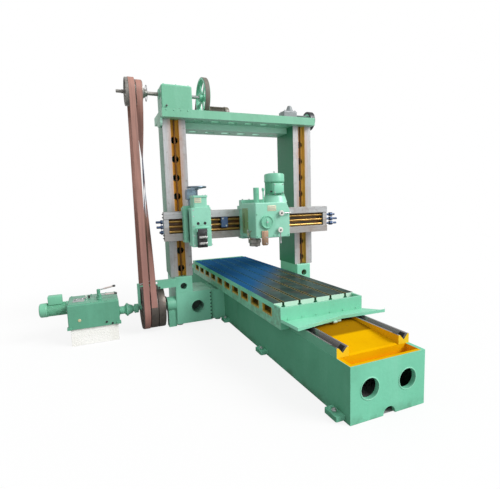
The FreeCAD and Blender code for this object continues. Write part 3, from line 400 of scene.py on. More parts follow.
def deck_finish():
    """Scraped table top: a painted blue reflection at the rear, bare with oil at the front right, painted
    highlights on the slot edges and painted shade in the slots.
    """
    f = Finish("table_top_blue_reflection")
    # Painted reflection: blue across the rear of the top, with a slanted boundary.
    blue = (f.y - f.x * 1.45 + f.noise(1.6, 3) * 0.4).between(-0.80, -0.20)
    mottle = f.noise(3.2, 6, 0.62).between(0.32, 0.7)
    scrape = f.noise(9, 5, 0.6, (1, 0.12, 1)).between(0.35, 0.72)
    bare = f.mix("425852", BLACK, mottle * 0.6)
    bare = f.mix(bare, RUST, f.noise(5, 5).between(0.55, 0.75) * 0.3)
    blue_reflection = f.mix(BLUE_REFLECTION, BLUE_REFLECTION_PALE, scrape * 0.25 + mottle * 0.08)
    blue_reflection = f.mix(blue_reflection, BLACK, f.noise(2.1, 5).between(0.55, 0.8) * 0.3)
    colour = f.mix(bare, blue_reflection, blue)
    slot = (f.x + SLOT_PITCH * 10).wave(SLOT_PITCH)
    # Painted highlight: thin bright lines on the slot edges, pale blue in the painted reflection.
    slot_edge_highlight = 1.0 - abs(slot - 0.0125).between(0.001, 0.003)
    colour = f.mix(colour, f.mix("c4a468", BLUE_REFLECTION_PALE, blue), slot_edge_highlight * 0.85)
    top = f.toward(2) > 0.5
    side = f.mix(MINT, MINT_DEEP, f.noise(4, 4).between(0.35, 0.7) * 0.4)
    side = f.mix(side, f.mix(MINT_PALE, WHITE, 0.5), abs(f.toward(1)) > 0.5)
    colour = f.mix(side, colour, top)
    # Painted shade: dark inside the slots, pale blue in the painted reflection at the rear.
    colour = f.mix(colour, f.mix(DIRT, BLUE_REFLECTION_PALE, blue), (slot < 0.0115) * 0.85)
    relief = scrape * 0.5 + f.noise(70, 3) * 0.25
    coat = (1.0 - blue) * top * 0.14
    return f.done(colour, 0.42 - top * 0.2 + mottle * 0.08, 0.0, relief, 0.0006, 0.002, coat, 0.1, 0.0)


def table_zones(f, colour, rough):
    """Yellow rims and linings of the pockets, painted shade deep inside them, oil streaks on the sides."""
    start, pitch, half = -1.583, 0.291, 0.09
    side = abs(f.x)
    along = (f.y - (start - pitch * 10)).wave(pitch)
    span = inside(f.y, start - half - 0.02, start + pitch * 9 + half + 0.02)
    deep = inside(f.z, 0.53, 0.602) * (along < half + 0.002) * (side < TABLE[1].x - 0.0015) * span
    rim = (1.0 - along.between(half + 0.012, half + 0.018)) * f.z.between(0.512, 0.518) * span
    side_face = side > TABLE[1].x - 0.07
    rim = (rim * side_face * (abs(f.toward(1)) < 0.5)).larger(deep)
    smudge = f.noise(24, 5, 0.6).between(0.3, 0.65)
    colour = f.mix(colour, "5c704a", (side > TABLE[1].x - 0.002) * smudge * 0.5)
    colour = f.mix(colour, f.mix("cea828", "806824", smudge * 0.8), rim)
    # Painted shade: black deep inside the side pockets.
    colour = f.mix(colour, BLACK, deep * side_face * (side < TABLE[1].x - 0.02) * 0.75)
    return colour, rough, 0.0


def metal(name, tone, dark, rough=0.3, rust=0.2):
    """Turned or ground steel with fine tool marks, oil and a little rust."""
    f = Finish(name)
    marks = f.noise(60, 3).between(0.3, 0.7)
    oil = f.noise(11, 5, 0.6).between(0.4, 0.75)
    colour = f.mix(f.mix(tone, dark, oil * 0.7), RUST, f.noise(30, 5).between(0.58, 0.75) * rust)
    return f.done(colour, rough + marks * 0.12 + oil * 0.1, 0.85 - oil * 0.25, marks, 0.0003, 0.0015)


def plain_paint(name, tone, deep, rough=0.4, grime=0.3):
    """Paint of one colour with mottle, pale edges of rubbed paint and painted highlight, and grime."""
    f = Finish(name)
    cloud = f.noise(6, 5).between(0.3, 0.7)
    fine = f.noise(45, 3).between(0.3, 0.7)
    colour = f.mix(tone, deep, cloud * 0.5 + fine * 0.15)
    colour = f.mix(colour, DIRT, f.noise(15, 5, 0.65).between(0.52, 0.8) * grime)
    # Pale edges: rubbed paint and a painted highlight.
    colour = f.mix(colour, WHITE, f.edges(0.003) * 0.14)
    return f.done(colour, rough + fine * 0.12, 0.0, fine, 0.0006, 0.003, 0.12)


def belt_finish(name, reflection_share=0.0):
    """Flat leather belt: rubbed ply along its length, dark edges, a painted bluish reflection with painted
    highlights along the crossed belt's twisted stretch.
    """
    f = Finish(name)
    streak = f.noise(30, 4, 0.6, (1, 0.05, 0.05)).between(0.3, 0.72)
    rub = f.noise(2.2, 5, 0.6, (1, 1, 0.5)).between(0.35, 0.7)
    colour = f.mix("b07c6c", "563e38", streak * 0.4 + rub * 0.22)
    colour = f.mix(colour, "96645c", (1.0 - f.z.between(0.5, 2.4)) * 0.6)
    colour = f.mix(colour, "563e38", f.edges(0.005, 0.05, 0.4) * 0.8)
    if reflection_share:
        # Painted reflection, bluish, and painted highlights, pale specks, on the twisted stretch.
        stretch = inside(f.z + f.noise(3, 5) * 0.3, 1.66, 2.32, 0.12)
        colour = f.mix(colour, "546a84", stretch * reflection_share * f.noise(8, 4).between(0.3, 0.5))
        colour = f.mix(colour, "b2becc", stretch * f.noise(24, 3).between(0.58, 0.64) * 0.85)
    relief = streak * 0.6 + f.noise(160, 3) * 0.3
    return f.done(colour, 0.62 + rub * 0.15, 0.0, relief, 0.0008)


def pale_block():
    """Rough pale block under the gearbox."""
    f = Finish("pale_block")
    colour = f.mix("f8f7f3", WHITE, f.noise(4, 5).between(0.35, 0.7) * 0.6)
    return f.done(colour, 0.85, 0.0, f.noise(60, 5).between(0.3, 0.7), 0.002, 0.004)


ENAMELS = {
    "bed": {"zones": bed_zones, "coat": 0.16, "level": 0.0},
    "column": {"zones": column_zones, "coat": 0.05, "level": 0.3},
    "pedestal": {"main": "8edcbe", "zones": pedestal_zones},
    "beam": {"main": "7ac2a0", "zones": beam_zones, "grime": 0.5},
    "rail": {"zones": rail_zones},
    "table": {"zones": table_zones, "grime": 0.3},
    "mint": {},
    # Copies of the mint enamel: a paler one as painted light on the tool and milling heads, darker ones as
    # painted shade on the beam's gearbox, the feed motor and the feed gearbox.
    "mint_light": {"main": "98dcc2", "pale": "b8ecd8"},
    "mint_sheet": {"main": "8cdcbc", "soft": 0.002, "grime": 0.12},
    "mint_case": {"main": "74be9c", "grime": 0.25},
    "gear_green": {"main": "5ca385", "pale": MINT, "deep": "407c62"},
}
METALS = {
    "steel": (IRON_PALE, IRON_GREY),
    "bright": ("e0e0de", IRON_GREY, 0.18, 0.05),
    "dark": ("46484a", BLACK, 0.32, 0.15),
    "thread": ("c49e58", OCHRE_DEEP, 0.26, 0.5),
    "lift_screw": ("866440", "462e1c", 0.36, 0.5),
    "worn_iron": ("a8a6a0", "564e48", 0.36, 0.55),
    "copper": ("b0927a", "8a6c54", 0.4, 0.3),
    "blue_iron": ("465876", "1c2436", 0.34, 0.15),
    "wheel_iron": ("7e8e9c", "404c5a", 0.3, 0.1),
    "dark_pulley": ("706862", "342e2a", 0.4, 0.5),
}
PAINTS = {
    "mint_pale": ("c4e6d4", "8cbea8"),
    "small_belt": ("787064", "463e36", 0.6),
    "brown": ("706854", "3e3428"),
    "grey": ("8e9698", "5c6468"),
    "slate": ("92b0c4", "465c70"),
    "blue": ("426496", "243a60"),
    "black": (BLACK, "282828", 0.35, 0.1),
    "knob": (WHITE, "c8c8c4", 0.3, 0.1),
    "cream": ("dedebe", "cccea0", 0.38, 0.2),
    "nameplate": ("a8b0ac", "78807c", 0.3, 0.3),
    "grip": ("d6c8c4", "aa9896", 0.4, 0.25),
    "panel": ("88ac74", "64824e", 0.45, 0.35),
    # Black for dark seams, and painted shade where holes and recesses are not modelled.
    "hollow": (BLACK, BLACK, 0.8, 0.2),
    "glass": ("dcd6b4", "a08c3c", 0.08, 0.0),
}
FINISHES = {"ways": way_finish(), "deck": deck_finish(), "plinth": pale_block(),
            "belt": belt_finish("belt"), "crossed_belt": belt_finish("crossed_belt", 0.85)}
for finish_name, look in ENAMELS.items():
    FINISHES[finish_name] = enamel(finish_name, **look)
for maker, looks in ((metal, METALS), (plain_paint, PAINTS)):
    for finish_name, look in looks.items():
        FINISHES[finish_name] = maker(finish_name, *look)

NODE_FINISH = {
    "bed": "bed", "ways": "bed_ways", "column": "column_left column_right",
    "pedestal": "pedestal_left pedestal_right", "beam": "top_beam", "rail": "cross_rail",
    "table": "table", "deck": "table_deck", "plinth": "gearbox_plinth", "belt": "open_belt",
    "crossed_belt": "crossed_belt", "small_belt": "elevating_belt",
    "steel": "levelling_screws gearbox_lever_a gearbox_lever_b mill_lever_a mill_lever_b",
    "bright": "mill_spindle", "dark": "motor_pulley countershaft tool_clapper",
    "thread": "rail_shafts", "lift_screw": "elevating_screws",
    "worn_iron": "top_pulleys drive_pulleys", "copper": "mill_dial",
    "wheel_iron": "tool_handwheel", "brown": "elevating_motor", "grey": "bevel_bracket",
    "slate": "tool_motor", "blue": "rail_clamp", "gear_green": "feed_gearbox",
    "mint_case": "elevating_gearbox feed_motor", "mint_sheet": "table_trays",
    "mint_light": "tool_saddle tool_slide mill_head",
    "mint": "beam_end_cover belt_bracket drive_bearing elevating_wheel drive_shaft mill_motor "
            "mill_tube mill_boss",
}
for finish_name, node_names in NODE_FINISH.items():
    for node_name in node_names.split():
        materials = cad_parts[node_name].data.materials
        materials.clear()
        materials.append(FINISHES[finish_name])


# Solids for the dressed pieces. Axis letters say which way a round piece points.
AXES = {"X": (1, 2, 0), "Y": (0, 2, 1), "Z": (0, 1, 2)}


def on_axis(axis, across, along):
    """A point from two values across the axis and one along it."""
    point = [0.0, 0.0, 0.0]
    first, second, third = AXES[axis]
    point[first], point[second], point[third] = across[0], across[1], along
    return point


def circle(centre, radius, count, first=0.0):
    """Values across an axis evenly round a circle, from an angle in degrees."""
    turns = [math.radians(360 * i / count + first) for i in range(count)]
    return [(centre[0] + radius * math.cos(turn), centre[1] + radius * math.sin(turn)) for turn in turns]


def around(axis, centre, radius, along, count, first=0.0):
    """Points evenly round an axis."""
    return [on_axis(axis, spot, along) for spot in circle(centre, radius, count, first)]


def grid(*parts):
    """Every point of x, y and z where each is one value or several."""
    return list(product(*[part if isinstance(part, (tuple, list)) else (part,) for part in parts]))


def steps(start, step, count):
    """Equally spaced values."""
    return [start + step * i for i in range(count)]


class Piece:
    """Solids gathered into one mesh that rides on a body, each with its own finish."""

    def __init__(self, name, body):
        self.name = name
        self.body = body
        self.mesh = bmesh.new()
        self.finishes = []

    def take(self, solid, finish):
        """Adds a finished solid and frees it."""
        if finish not in self.finishes:
            self.finishes.append(finish)
        for face in solid.faces:
            face.material_index = self.finishes.index(finish)
        bmesh.ops.recalc_face_normals(solid, faces=solid.faces)
        step = bpy.data.meshes.new("step")
        solid.to_mesh(step)
        solid.free()
        self.mesh.from_mesh(step)
        bpy.data.meshes.remove(step)

    def block(self, finish, x, y, z, rounding=0.0, segments=2):
        """Box between two values along each axis, its edges rounded."""
        solid = bmesh.new()
        bmesh.ops.create_cube(solid, size=1)
        for vertex in solid.verts:
            vertex.co = [low + (part + 0.5) * (high - low)
                         for (low, high), part in zip((x, y, z), vertex.co)]
        if rounding:
            bmesh.ops.bevel(solid, geom=solid.edges[:], offset=rounding, segments=segments,
                            affect="EDGES", profile=0.5)
        self.take(solid, finish)

    def turned(self, finish, axis, centre, profile, sides=32, closed=False, base=0.0, way=1):
        """Lathe-turned solid: profile is (along, radius) points, counted from base in a way."""
        solid = bmesh.new()
        rings = []
        for along, radius in profile:
            spots = around(axis, centre, radius, base + way * along, sides, 180 / sides)
            rings.append([solid.verts.new(spot) for spot in spots[:sides if radius else 1]])
        for lower, upper in zip(rings, rings[1:] + rings[:1] if closed else rings[1:]):
            for i in range(sides):
                corner = [lower[i % len(lower)], lower[(i + 1) % len(lower)],
                          upper[(i + 1) % len(upper)], upper[i % len(upper)]]
                unique = list(dict.fromkeys(corner))
                if len(unique) > 2:
                    solid.faces.new(unique)
        for ring in () if closed else (rings[0], rings[-1]):
            if len(ring) > 2:
                solid.faces.new(ring)
        self.take(solid, finish)

    def bar(self, finish, axis, centre, radius, span, sides=24, chamfer=None):
        """Round bar with chamfered ends."""
        low, high = min(span), max(span)
        cut = min(radius * 0.12, 0.004) if chamfer is None else chamfer
        self.turned(finish, axis, centre, [(low, radius - cut), (low + cut, radius), (high - cut, radius),
                                           (high, radius - cut)], sides)

    def slab(self, finish, axis, outline, span, rounding):
        """Flat outline, in the two directions across an axis, drawn out along it."""
        solid = bmesh.new()
        near, far = [[solid.verts.new(on_axis(axis, point, along)) for point in outline]
                     for along in span]
        solid.faces.new(near)
        solid.faces.new(far[::-1])
        for i in range(-1, len(outline) - 1):
            solid.faces.new([near[i], far[i], far[i + 1], near[i + 1]])
        bmesh.ops.recalc_face_normals(solid, faces=solid.faces)
        bmesh.ops.bevel(solid, geom=solid.edges[:], offset=rounding, segments=2, affect="EDGES",
                        profile=0.5)
        self.take(solid, finish)

    def rim(self, finish, axis, centre, radius, thick, along, sides=40, facets=12):
        """Round ring such as a handwheel's, with facets round its section."""
        profile = [(at, out) for out, at in circle((radius, along), thick, facets)]
        self.turned(finish, axis, centre, profile, sides, closed=True)

    def pipe(self, finish, points, radius, sides=10):
        """Smooth bent tube through points."""
        route = bpy.data.curves.new("route", "CURVE")
        route.dimensions = "3D"
        route.bevel_depth = radius
        route.bevel_resolution = sides // 4
        route.use_fill_caps = True
        line = route.splines.new("NURBS")
        line.points.add(len(points) - 1)
        for knot, point in zip(line.points, points):
            knot.co = (*point, 1)
        line.order_u = min(3, len(points))
        line.use_endpoint_u = True
        holder = bpy.data.objects.new("route", route)
        tube = bpy.data.meshes.new_from_object(holder)
        solid = bmesh.new()
        solid.from_mesh(tube)
        bmesh.ops.remove_doubles(solid, verts=solid.verts, dist=1e-6)
        bpy.data.meshes.remove(tube)
        bpy.data.objects.remove(holder)
        bpy.data.curves.remove(route)
        self.take(solid, finish)

    def thread(self, finish, axis, centre, radius, depth, pitch, span, sides=12):
        """Square-crested screw thread."""
        solid = bmesh.new()
        crest = (0.0, 0.12, 0.5, 0.62)
        count = len(crest)
        turns = int((span[1] - span[0]) / pitch)
        rise = pitch * turns / (turns + 1)
        rings = []
        for turn, share in product(range(turns), crest):
            spots = circle(centre, radius if share in crest[1:3] else radius - depth, sides)
            places = [span[0] + (turn + share + i / sides) * rise for i in range(sides)]
            rings.append([solid.verts.new(on_axis(axis, spot, along))
                          for spot, along in zip(spots, places)])
        for k, (ring, upper) in enumerate(zip(rings, rings[1:])):
            for i in range(sides - 1):
                solid.faces.new([ring[i], ring[i + 1], upper[i + 1], upper[i]])
            if k + count + 1 < len(rings):
                solid.faces.new([ring[-1], rings[k + count][0], rings[k + count + 1][0], upper[-1]])
        for end in (rings[0], rings[-1]):
            solid.faces.new(end)
        self.take(solid, finish)

    def done(self, replaces=None):
        """Makes the object, rides it on its body and hides the CAD node that it stands for."""
        data = bpy.data.meshes.new(self.name)
        self.mesh.to_mesh(data)
        self.mesh.free()
        data.shade_smooth()
        data.set_sharp_from_angle(angle=math.radians(32))
        for finish in self.finishes:
            data.materials.append(FINISHES[finish])
        made = bpy.data.objects.new(self.name, data)
        bpy.context.collection.objects.link(made)
        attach(made, self.body)
        if replaces:
            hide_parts(replaces)


# Repeats made by Geometry Nodes.
class Tree:
    """A node tree with named inputs, that ends in one plain mesh of one material."""

    def __init__(self, name, inputs):
        self.tree = bpy.data.node_groups.new(name, "GeometryNodeTree")
        face = self.tree.interface
        face.new_socket("Geometry", in_out="INPUT", socket_type="NodeSocketGeometry")
        for label, kind in {**inputs, "Finish": "Material"}.items():
            face.new_socket(label, in_out="INPUT", socket_type="NodeSocket" + kind)
        face.new_socket("Geometry", in_out="OUTPUT", socket_type="NodeSocketGeometry")
        self.given = self.tree.nodes.new("NodeGroupInput")

    def node(self, kind, values=None, settings=None):
        """First output of a node made from settings and its sockets' values, links or inputs."""
        made = self.tree.nodes.new(kind)
        for key, setting in (settings or {}).items():
            setattr(made, key, setting)
        for key, value in (values or {}).items():
            for part in value if isinstance(value, list) else [value]:
                source = self.given.outputs[part] if isinstance(part, str) else part
                if isinstance(source, bpy.types.NodeSocket):
                    self.tree.links.new(source, made.inputs[key])
                else:
                    made.inputs[key].default_value = source
        return made.outputs[0] if made.outputs else None

    def times(self, first, second):
        """Product of two numbers or inputs."""
        return self.node("ShaderNodeMath", {0: first, 1: second}, {"operation": "MULTIPLY"})

    def stand(self, points, instance, way=None):
        """A copy at each point, turned by a rotation if one is given."""
        values = {"Points": points, "Instance": instance}
        if way:
            values["Rotation"] = way
        return self.node("GeometryNodeInstanceOnPoints", values)

    def close(self, instances):
        """Realizes the instances, sets the material and ends the tree."""
        real = self.node("GeometryNodeRealizeInstances", {0: instances})
        coat = self.node("GeometryNodeSetMaterial", {"Geometry": real, "Material": "Finish"})
        self.node("NodeGroupOutput", {0: coat})
        return self.tree


def bolt_tree():
    """Washer and hexagon head at each point, standing along Direction."""
    t = Tree("bolts", {"Across": "Float", "Height": "Float", "Sides": "Int", "Direction": "Vector"})
    head = t.node("GeometryNodeMeshCylinder", {
        "Vertices": "Sides", "Radius": t.times("Across", 0.5), "Depth": "Height"})
    lift = t.node("ShaderNodeCombineXYZ", {2: t.times("Height", 0.62)})
    raised = t.node("GeometryNodeTransform", {"Geometry": head, "Translation": lift})
    washer = t.node("GeometryNodeMeshCylinder", {
        "Vertices": 16, "Radius": t.times("Across", 0.68), "Depth": t.times("Height", 0.24)})
    both = t.node("GeometryNodeJoinGeometry", {0: [raised, washer]})
    way = t.node("FunctionNodeAlignRotationToVector", {"Vector": "Direction"}, {"axis": "Z"})
    return t.close(t.stand("Geometry", both, way))


def fin_tree():
    """Blades round an axis: Reach is how far out their middles are, Size is out, across, along."""
    t = Tree("fins", {"Count": "Int", "Reach": "Float", "Size": "Vector", "Turn": "Rotation",
                      "Centre": "Vector"})
    ring = t.node("GeometryNodeMeshCircle", {"Vertices": "Count", "Radius": "Reach"})
    blade = t.node("GeometryNodeMeshCube", {"Size": "Size"})
    way = t.node("FunctionNodeAlignRotationToVector",
                 {"Vector": t.node("GeometryNodeInputPosition")}, {"axis": "X"})
    return t.close(t.node("GeometryNodeTransform", {
        "Geometry": t.stand(ring, blade, way), "Translation": "Centre", "Rotation": "Turn"}))


def row_tree():
    """Bars in a row: Count of them, each Step from the last."""
    t = Tree("row", {"Count": "Int", "Start": "Vector", "Step": "Vector", "Size": "Vector"})
    line = t.node("GeometryNodeMeshLine", {"Count": "Count", "Start Location": "Start", "Offset": "Step"})
    return t.close(t.stand(line, t.node("GeometryNodeMeshCube", {"Size": "Size"})))


TREES = {"bolts": bolt_tree(), "fins": fin_tree(), "row": row_tree()}


def repeated(kind, name, body, finish, points=(), **inputs):
    """Runs a tree over points and rides the plain mesh that it gives on a body."""
    start = bpy.data.meshes.new(name)
    start.from_pydata([tuple(point) for point in points], [], [])
    maker = bpy.data.objects.new(name + "_maker", start)
    bpy.context.collection.objects.link(maker)
    modifier = maker.modifiers.new("repeat", "NODES")
    modifier.node_group = TREES[kind]
    found = {item.name: item.identifier for item in TREES[kind].interface.items_tree
             if item.in_out == "INPUT"}
    for label, value in {**inputs, "Finish": FINISHES[finish]}.items():
        if isinstance(value, (tuple, list)):
            value = [float(part) for part in value]
        modifier[found[label]] = value
    seen = maker.evaluated_get(bpy.context.evaluated_depsgraph_get())
    data = bpy.data.meshes.new_from_object(seen)
    data.name = name
    bpy.data.objects.remove(maker)
    bpy.data.meshes.remove(start)
    made = bpy.data.objects.new(name, data)
    bpy.context.collection.objects.link(made)
    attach(made, body)


def bolts(name, body, points, way, across, height, finish="steel", sides=6):
    """Hexagon heads at points, or round heads with more sides, that stand in a way such as -y."""
    direction = [float(way[0] + "1") * (axis == way[1]) for axis in "xyz"]
    repeated("bolts", name, body, finish, points, Across=across, Height=height, Sides=sides,
             Direction=direction)


TURNS = {"X": (0, math.pi / 2, 0), "Y": (math.pi / 2, 0, 0), "Z": (0, 0, 0)}


def motor(node, body, axis, centre, radius, span, cowl, paint, box=None, foot=None):
    """Ribbed motor: span runs from its flange to its fan end, cowl is the fan cover's length."""
    flange, fan = span
    way = 1 if fan > flange else -1
    collar = flange + way * 0.013
    cover = fan - way * cowl
    shell = radius * 1.05
    p = Piece(node + "_body", body)
    p.bar(paint, axis, centre, radius * 0.9, (collar - way * 0.002, cover + way * 0.004), 40)
    p.bar(paint, axis, centre, radius * 1.07, (flange, collar), 40)
    cap = [(-cowl, shell * 0.9), (-cowl, shell), (-0.018, shell), (-0.005, shell * 0.95),
           (0, shell * 0.86), (0, 0)]
    p.turned(paint, axis, centre, cap, 40, base=fan, way=way)
    p.rim(paint, axis, centre, shell, 0.0035, cover + way * 0.012, 40, 6)
    # Painted shade: a black disc at the fan end, seen through the grille.
    p.turned("black", axis, centre, [(-0.002, shell * 0.74), (0.0012, shell * 0.74), (0.0012, 0)],
             base=fan, way=way)
    for part, rounding, segments in ((box, 0.008, 3), (foot, 0.004, 2)):
        if part:
            p.block(paint, *zip(*part), rounding, segments)
    p.done(node)
    for name, count, reach, size, along in (
            ("_fins", 34, radius * 0.945, (radius * 0.11, radius * 0.035, abs(cover - collar)),
             (collar + cover) / 2),
            ("_grille_bars", 8, shell * 0.4, (shell * 0.66, 0.004, 0.003), fan + way * 0.0022)):
        repeated("fins", node + name, body, paint, Count=count, Reach=reach, Size=size,
                 Turn=TURNS[axis], Centre=on_axis(axis, centre, along))
    for i, share in enumerate((0.2, 0.38, 0.56, 0.72)):
        ring = Piece(node + "_grille_%d" % i, body)
        ring.rim(paint, axis, centre, shell * share, 0.0022, fan + way * 0.002, 32, 6)
        ring.done()


# Pieces that stand for plain nodes, and small parts that the castings carry.
SLIDE_FRONT = SLIDE[0].y
SADDLE_FRONT = SADDLE[0].y
MILL_FRONT = -0.780
MILL_LEFT = corners("mill_head")[0].x
MILL_MOTOR = (0.155, -0.600)
SHAFT_Y = -0.225
TOP_AXLE = (0.085, 2.918)
LOW_AXLE = (0.060, 0.293)
TOOL_X = -0.757
WHEEL_MIDDLE = -0.4975
CASE_TOP = corners("feed_gearbox")[1].z - 0.008


def motors():
    """Milling head's motor, the feed motor and the small one on the beam."""
    low, high = corners("mill_motor")
    motor("mill_motor", "mill_carriage", "Z", MILL_MOTOR, 0.116, (low.z, high.z), 0.100, "mint",
          ((0.072, -0.745, 1.664), (0.212, -0.68, 1.787)))
    low, high = corners("feed_motor")
    motor("feed_motor", "frame", "X", (0.050, 0.412), 0.0762, (high.x, low.x), 0.078, "mint_case",
          ((-2.450, 0.0, 0.472), (-2.305, 0.100, 0.572)))
    low, high = corners("elevating_motor")
    motor("elevating_motor", "frame", "X", (0.380, 2.815), 0.0815, (low.x, high.x), 0.065, "brown",
          foot=((low.x + 0.030, 0.310, low.z), (low.x + 0.200, 0.450, 2.755)))
    p = Piece("mill_motor_lid", "mill_carriage")
    p.block("mint_sheet", (0.080, 0.204), (-0.751, -0.744), (1.672, 1.779), 0.003)
    p.bar("black", "X", (-0.705, 1.69), 0.011, (0.050, 0.074), 12)
    p.rim("steel", "X", (-0.60, 1.921), 0.014, 0.004, 0.155, 16, 8)
    p.done()
    bolts("mill_motor_lid_screws", "mill_carriage", grid((0.088, 0.196), -0.751, (1.680, 1.771)),
          "-y", 0.011, 0.004, "steel", 12)
    bolts("mill_motor_bolts", "mill_carriage", around("Z", MILL_MOTOR, 0.112, 1.6525, 8, 22.5),
          "+z", 0.017, 0.010)
    bolts("feed_motor_bolts", "frame", around("X", (0.05, 0.412), 0.075, -2.2625, 4, 22.5),
          "-x", 0.012, 0.006)


def lifting_screws():
    """Threaded screws in the columns' recesses."""
    p = Piece("lifting_screw_threads", "frame")
    start, end = corners("elevating_screws")
    low, high = start.z, end.z
    for side in SIDES:
        centre = (side * RECESS_X, (start.y + end.y) / 2)
        p.thread("lift_screw", "Z", centre, 0.012, 0.0022, 0.011, (low + 0.03, high - 0.03))
        p.bar("lift_screw", "Z", centre, 0.0105, (low, low + 0.04), 16)
        p.bar("lift_screw", "Z", centre, 0.0105, (high - 0.04, high), 16)
    p.done("elevating_screws")


def rail_screws():
    """Two feed screws and a splined shaft in the rail's recess, with collars and bearings."""
    end = RAIL[1].x
    inner = (0.03 - end, end - 0.03)
    p = Piece("rail_feed_shafts", "rail")
    bearings = Piece("rail_end_bearings", "rail")
    for z, past_left, past_right, splined in ((1.368, 0.087, 0.150, False),
                                              (1.307, 0.081, 0.190, False),
                                              (1.245, 0.050, 0.180, True)):
        centre = (SHAFT_Y, z)
        if splined:
            p.bar("thread", "X", centre, 0.0165, inner, 20)
            p.block("thread", (0.05 - end, end - 0.05), (SHAFT_Y - 0.0185, SHAFT_Y), (z - 0.004, z + 0.004))
        else:
            p.thread("thread", "X", centre, 0.017, 0.0026, 0.012, inner)
        for side, past in ((-1, past_left), (1, past_right)):
            tip = side * (end + past)
            p.bar("blue_iron", "X", centre, 0.0145, (side * (end - 0.04), tip), 18)
            p.turned("steel", "X", centre, [(0, 0.011), (0.002, 0.0125), (0.03, 0.0125)], 4,
                     base=tip, way=-side)
            bearings.turned("slate", "X", centre, [(-0.001, 0.0265), (0.007, 0.0265), (0.009, 0.022)],
                            24, base=side * end, way=side)
        for start, long, radius in ((-end - 0.034, 0.022, 0.026), (end + 0.060, 0.050, 0.028)):
            p.turned("blue_iron", "X", centre, [(0, radius * 0.8), (0.004, radius), (long - 0.004, radius),
                                                (long, radius * 0.8)], 24, base=start)
            p.turned("bright", "X", centre, [(long, radius * 0.78), (long + 0.010, radius * 0.78)], 6,
                     base=start)
    p.done("rail_shafts")
    bearings.done()
    for side, name in SIDES.items():
        bolts("rail_end_bolts_" + name, "rail",
              grid(side * end, (-0.252, -0.198), (1.170, 1.205, 1.42, 1.46)), OUTWARD[side],
              0.013, 0.007, "dark")
    p = Piece("rail_clamp_dress", "rail")
    low, high = corners("rail_clamp")
    for z in (low.z + 0.02, (low.z + high.z) / 2, high.z - 0.02):
        for side, face in ((-1, low.x), (1, high.x)):
            p.bar("dark", "X", (SHAFT_Y, z), 0.021, (face + side * 0.012, face - side * 0.002), 20)
    p.done()
    bolts("rail_clamp_bolts", "rail",
          [(low.x + 0.02, low.y, high.z - 0.02), (high.x - 0.02, low.y, low.z + 0.02)], "-y",
          0.016, 0.003, "bright")


def pulley(piece, centre, radius, span, bore, finish):
    """Crowned rim, web with six black discs painted as the shade of holes, hub."""
    half = (span[1] - span[0]) / 2
    middle = (span[0] + span[1]) / 2
    edge = [(half, radius - 0.0015), (half, radius - 0.011), (0.008, radius - 0.016)]
    crown = [(half - 0.003, radius - 0.0004)]
    web = [(0.012, bore + 0.022), (0.006, bore + 0.034), (0.006, radius - 0.011)]
    hub = [(half - 0.008, bore), (half - 0.008, bore + 0.020)] + web
    right = [(0, radius)] + crown + edge
    for half_profile, sides in ((right, 64), (hub, 48)):
        other = [(-at, out) for at, out in half_profile[::-1] if at]
        piece.turned(finish, "X", centre, half_profile + other, sides, closed=True, base=middle)
    # Painted shade: black discs in the web for holes.
    for spot in circle(centre, radius * 0.62, 6, 12):
        piece.bar("hollow", "X", spot, radius * 0.13, (middle - 0.0068, middle + 0.0068), 16, 0.0002)


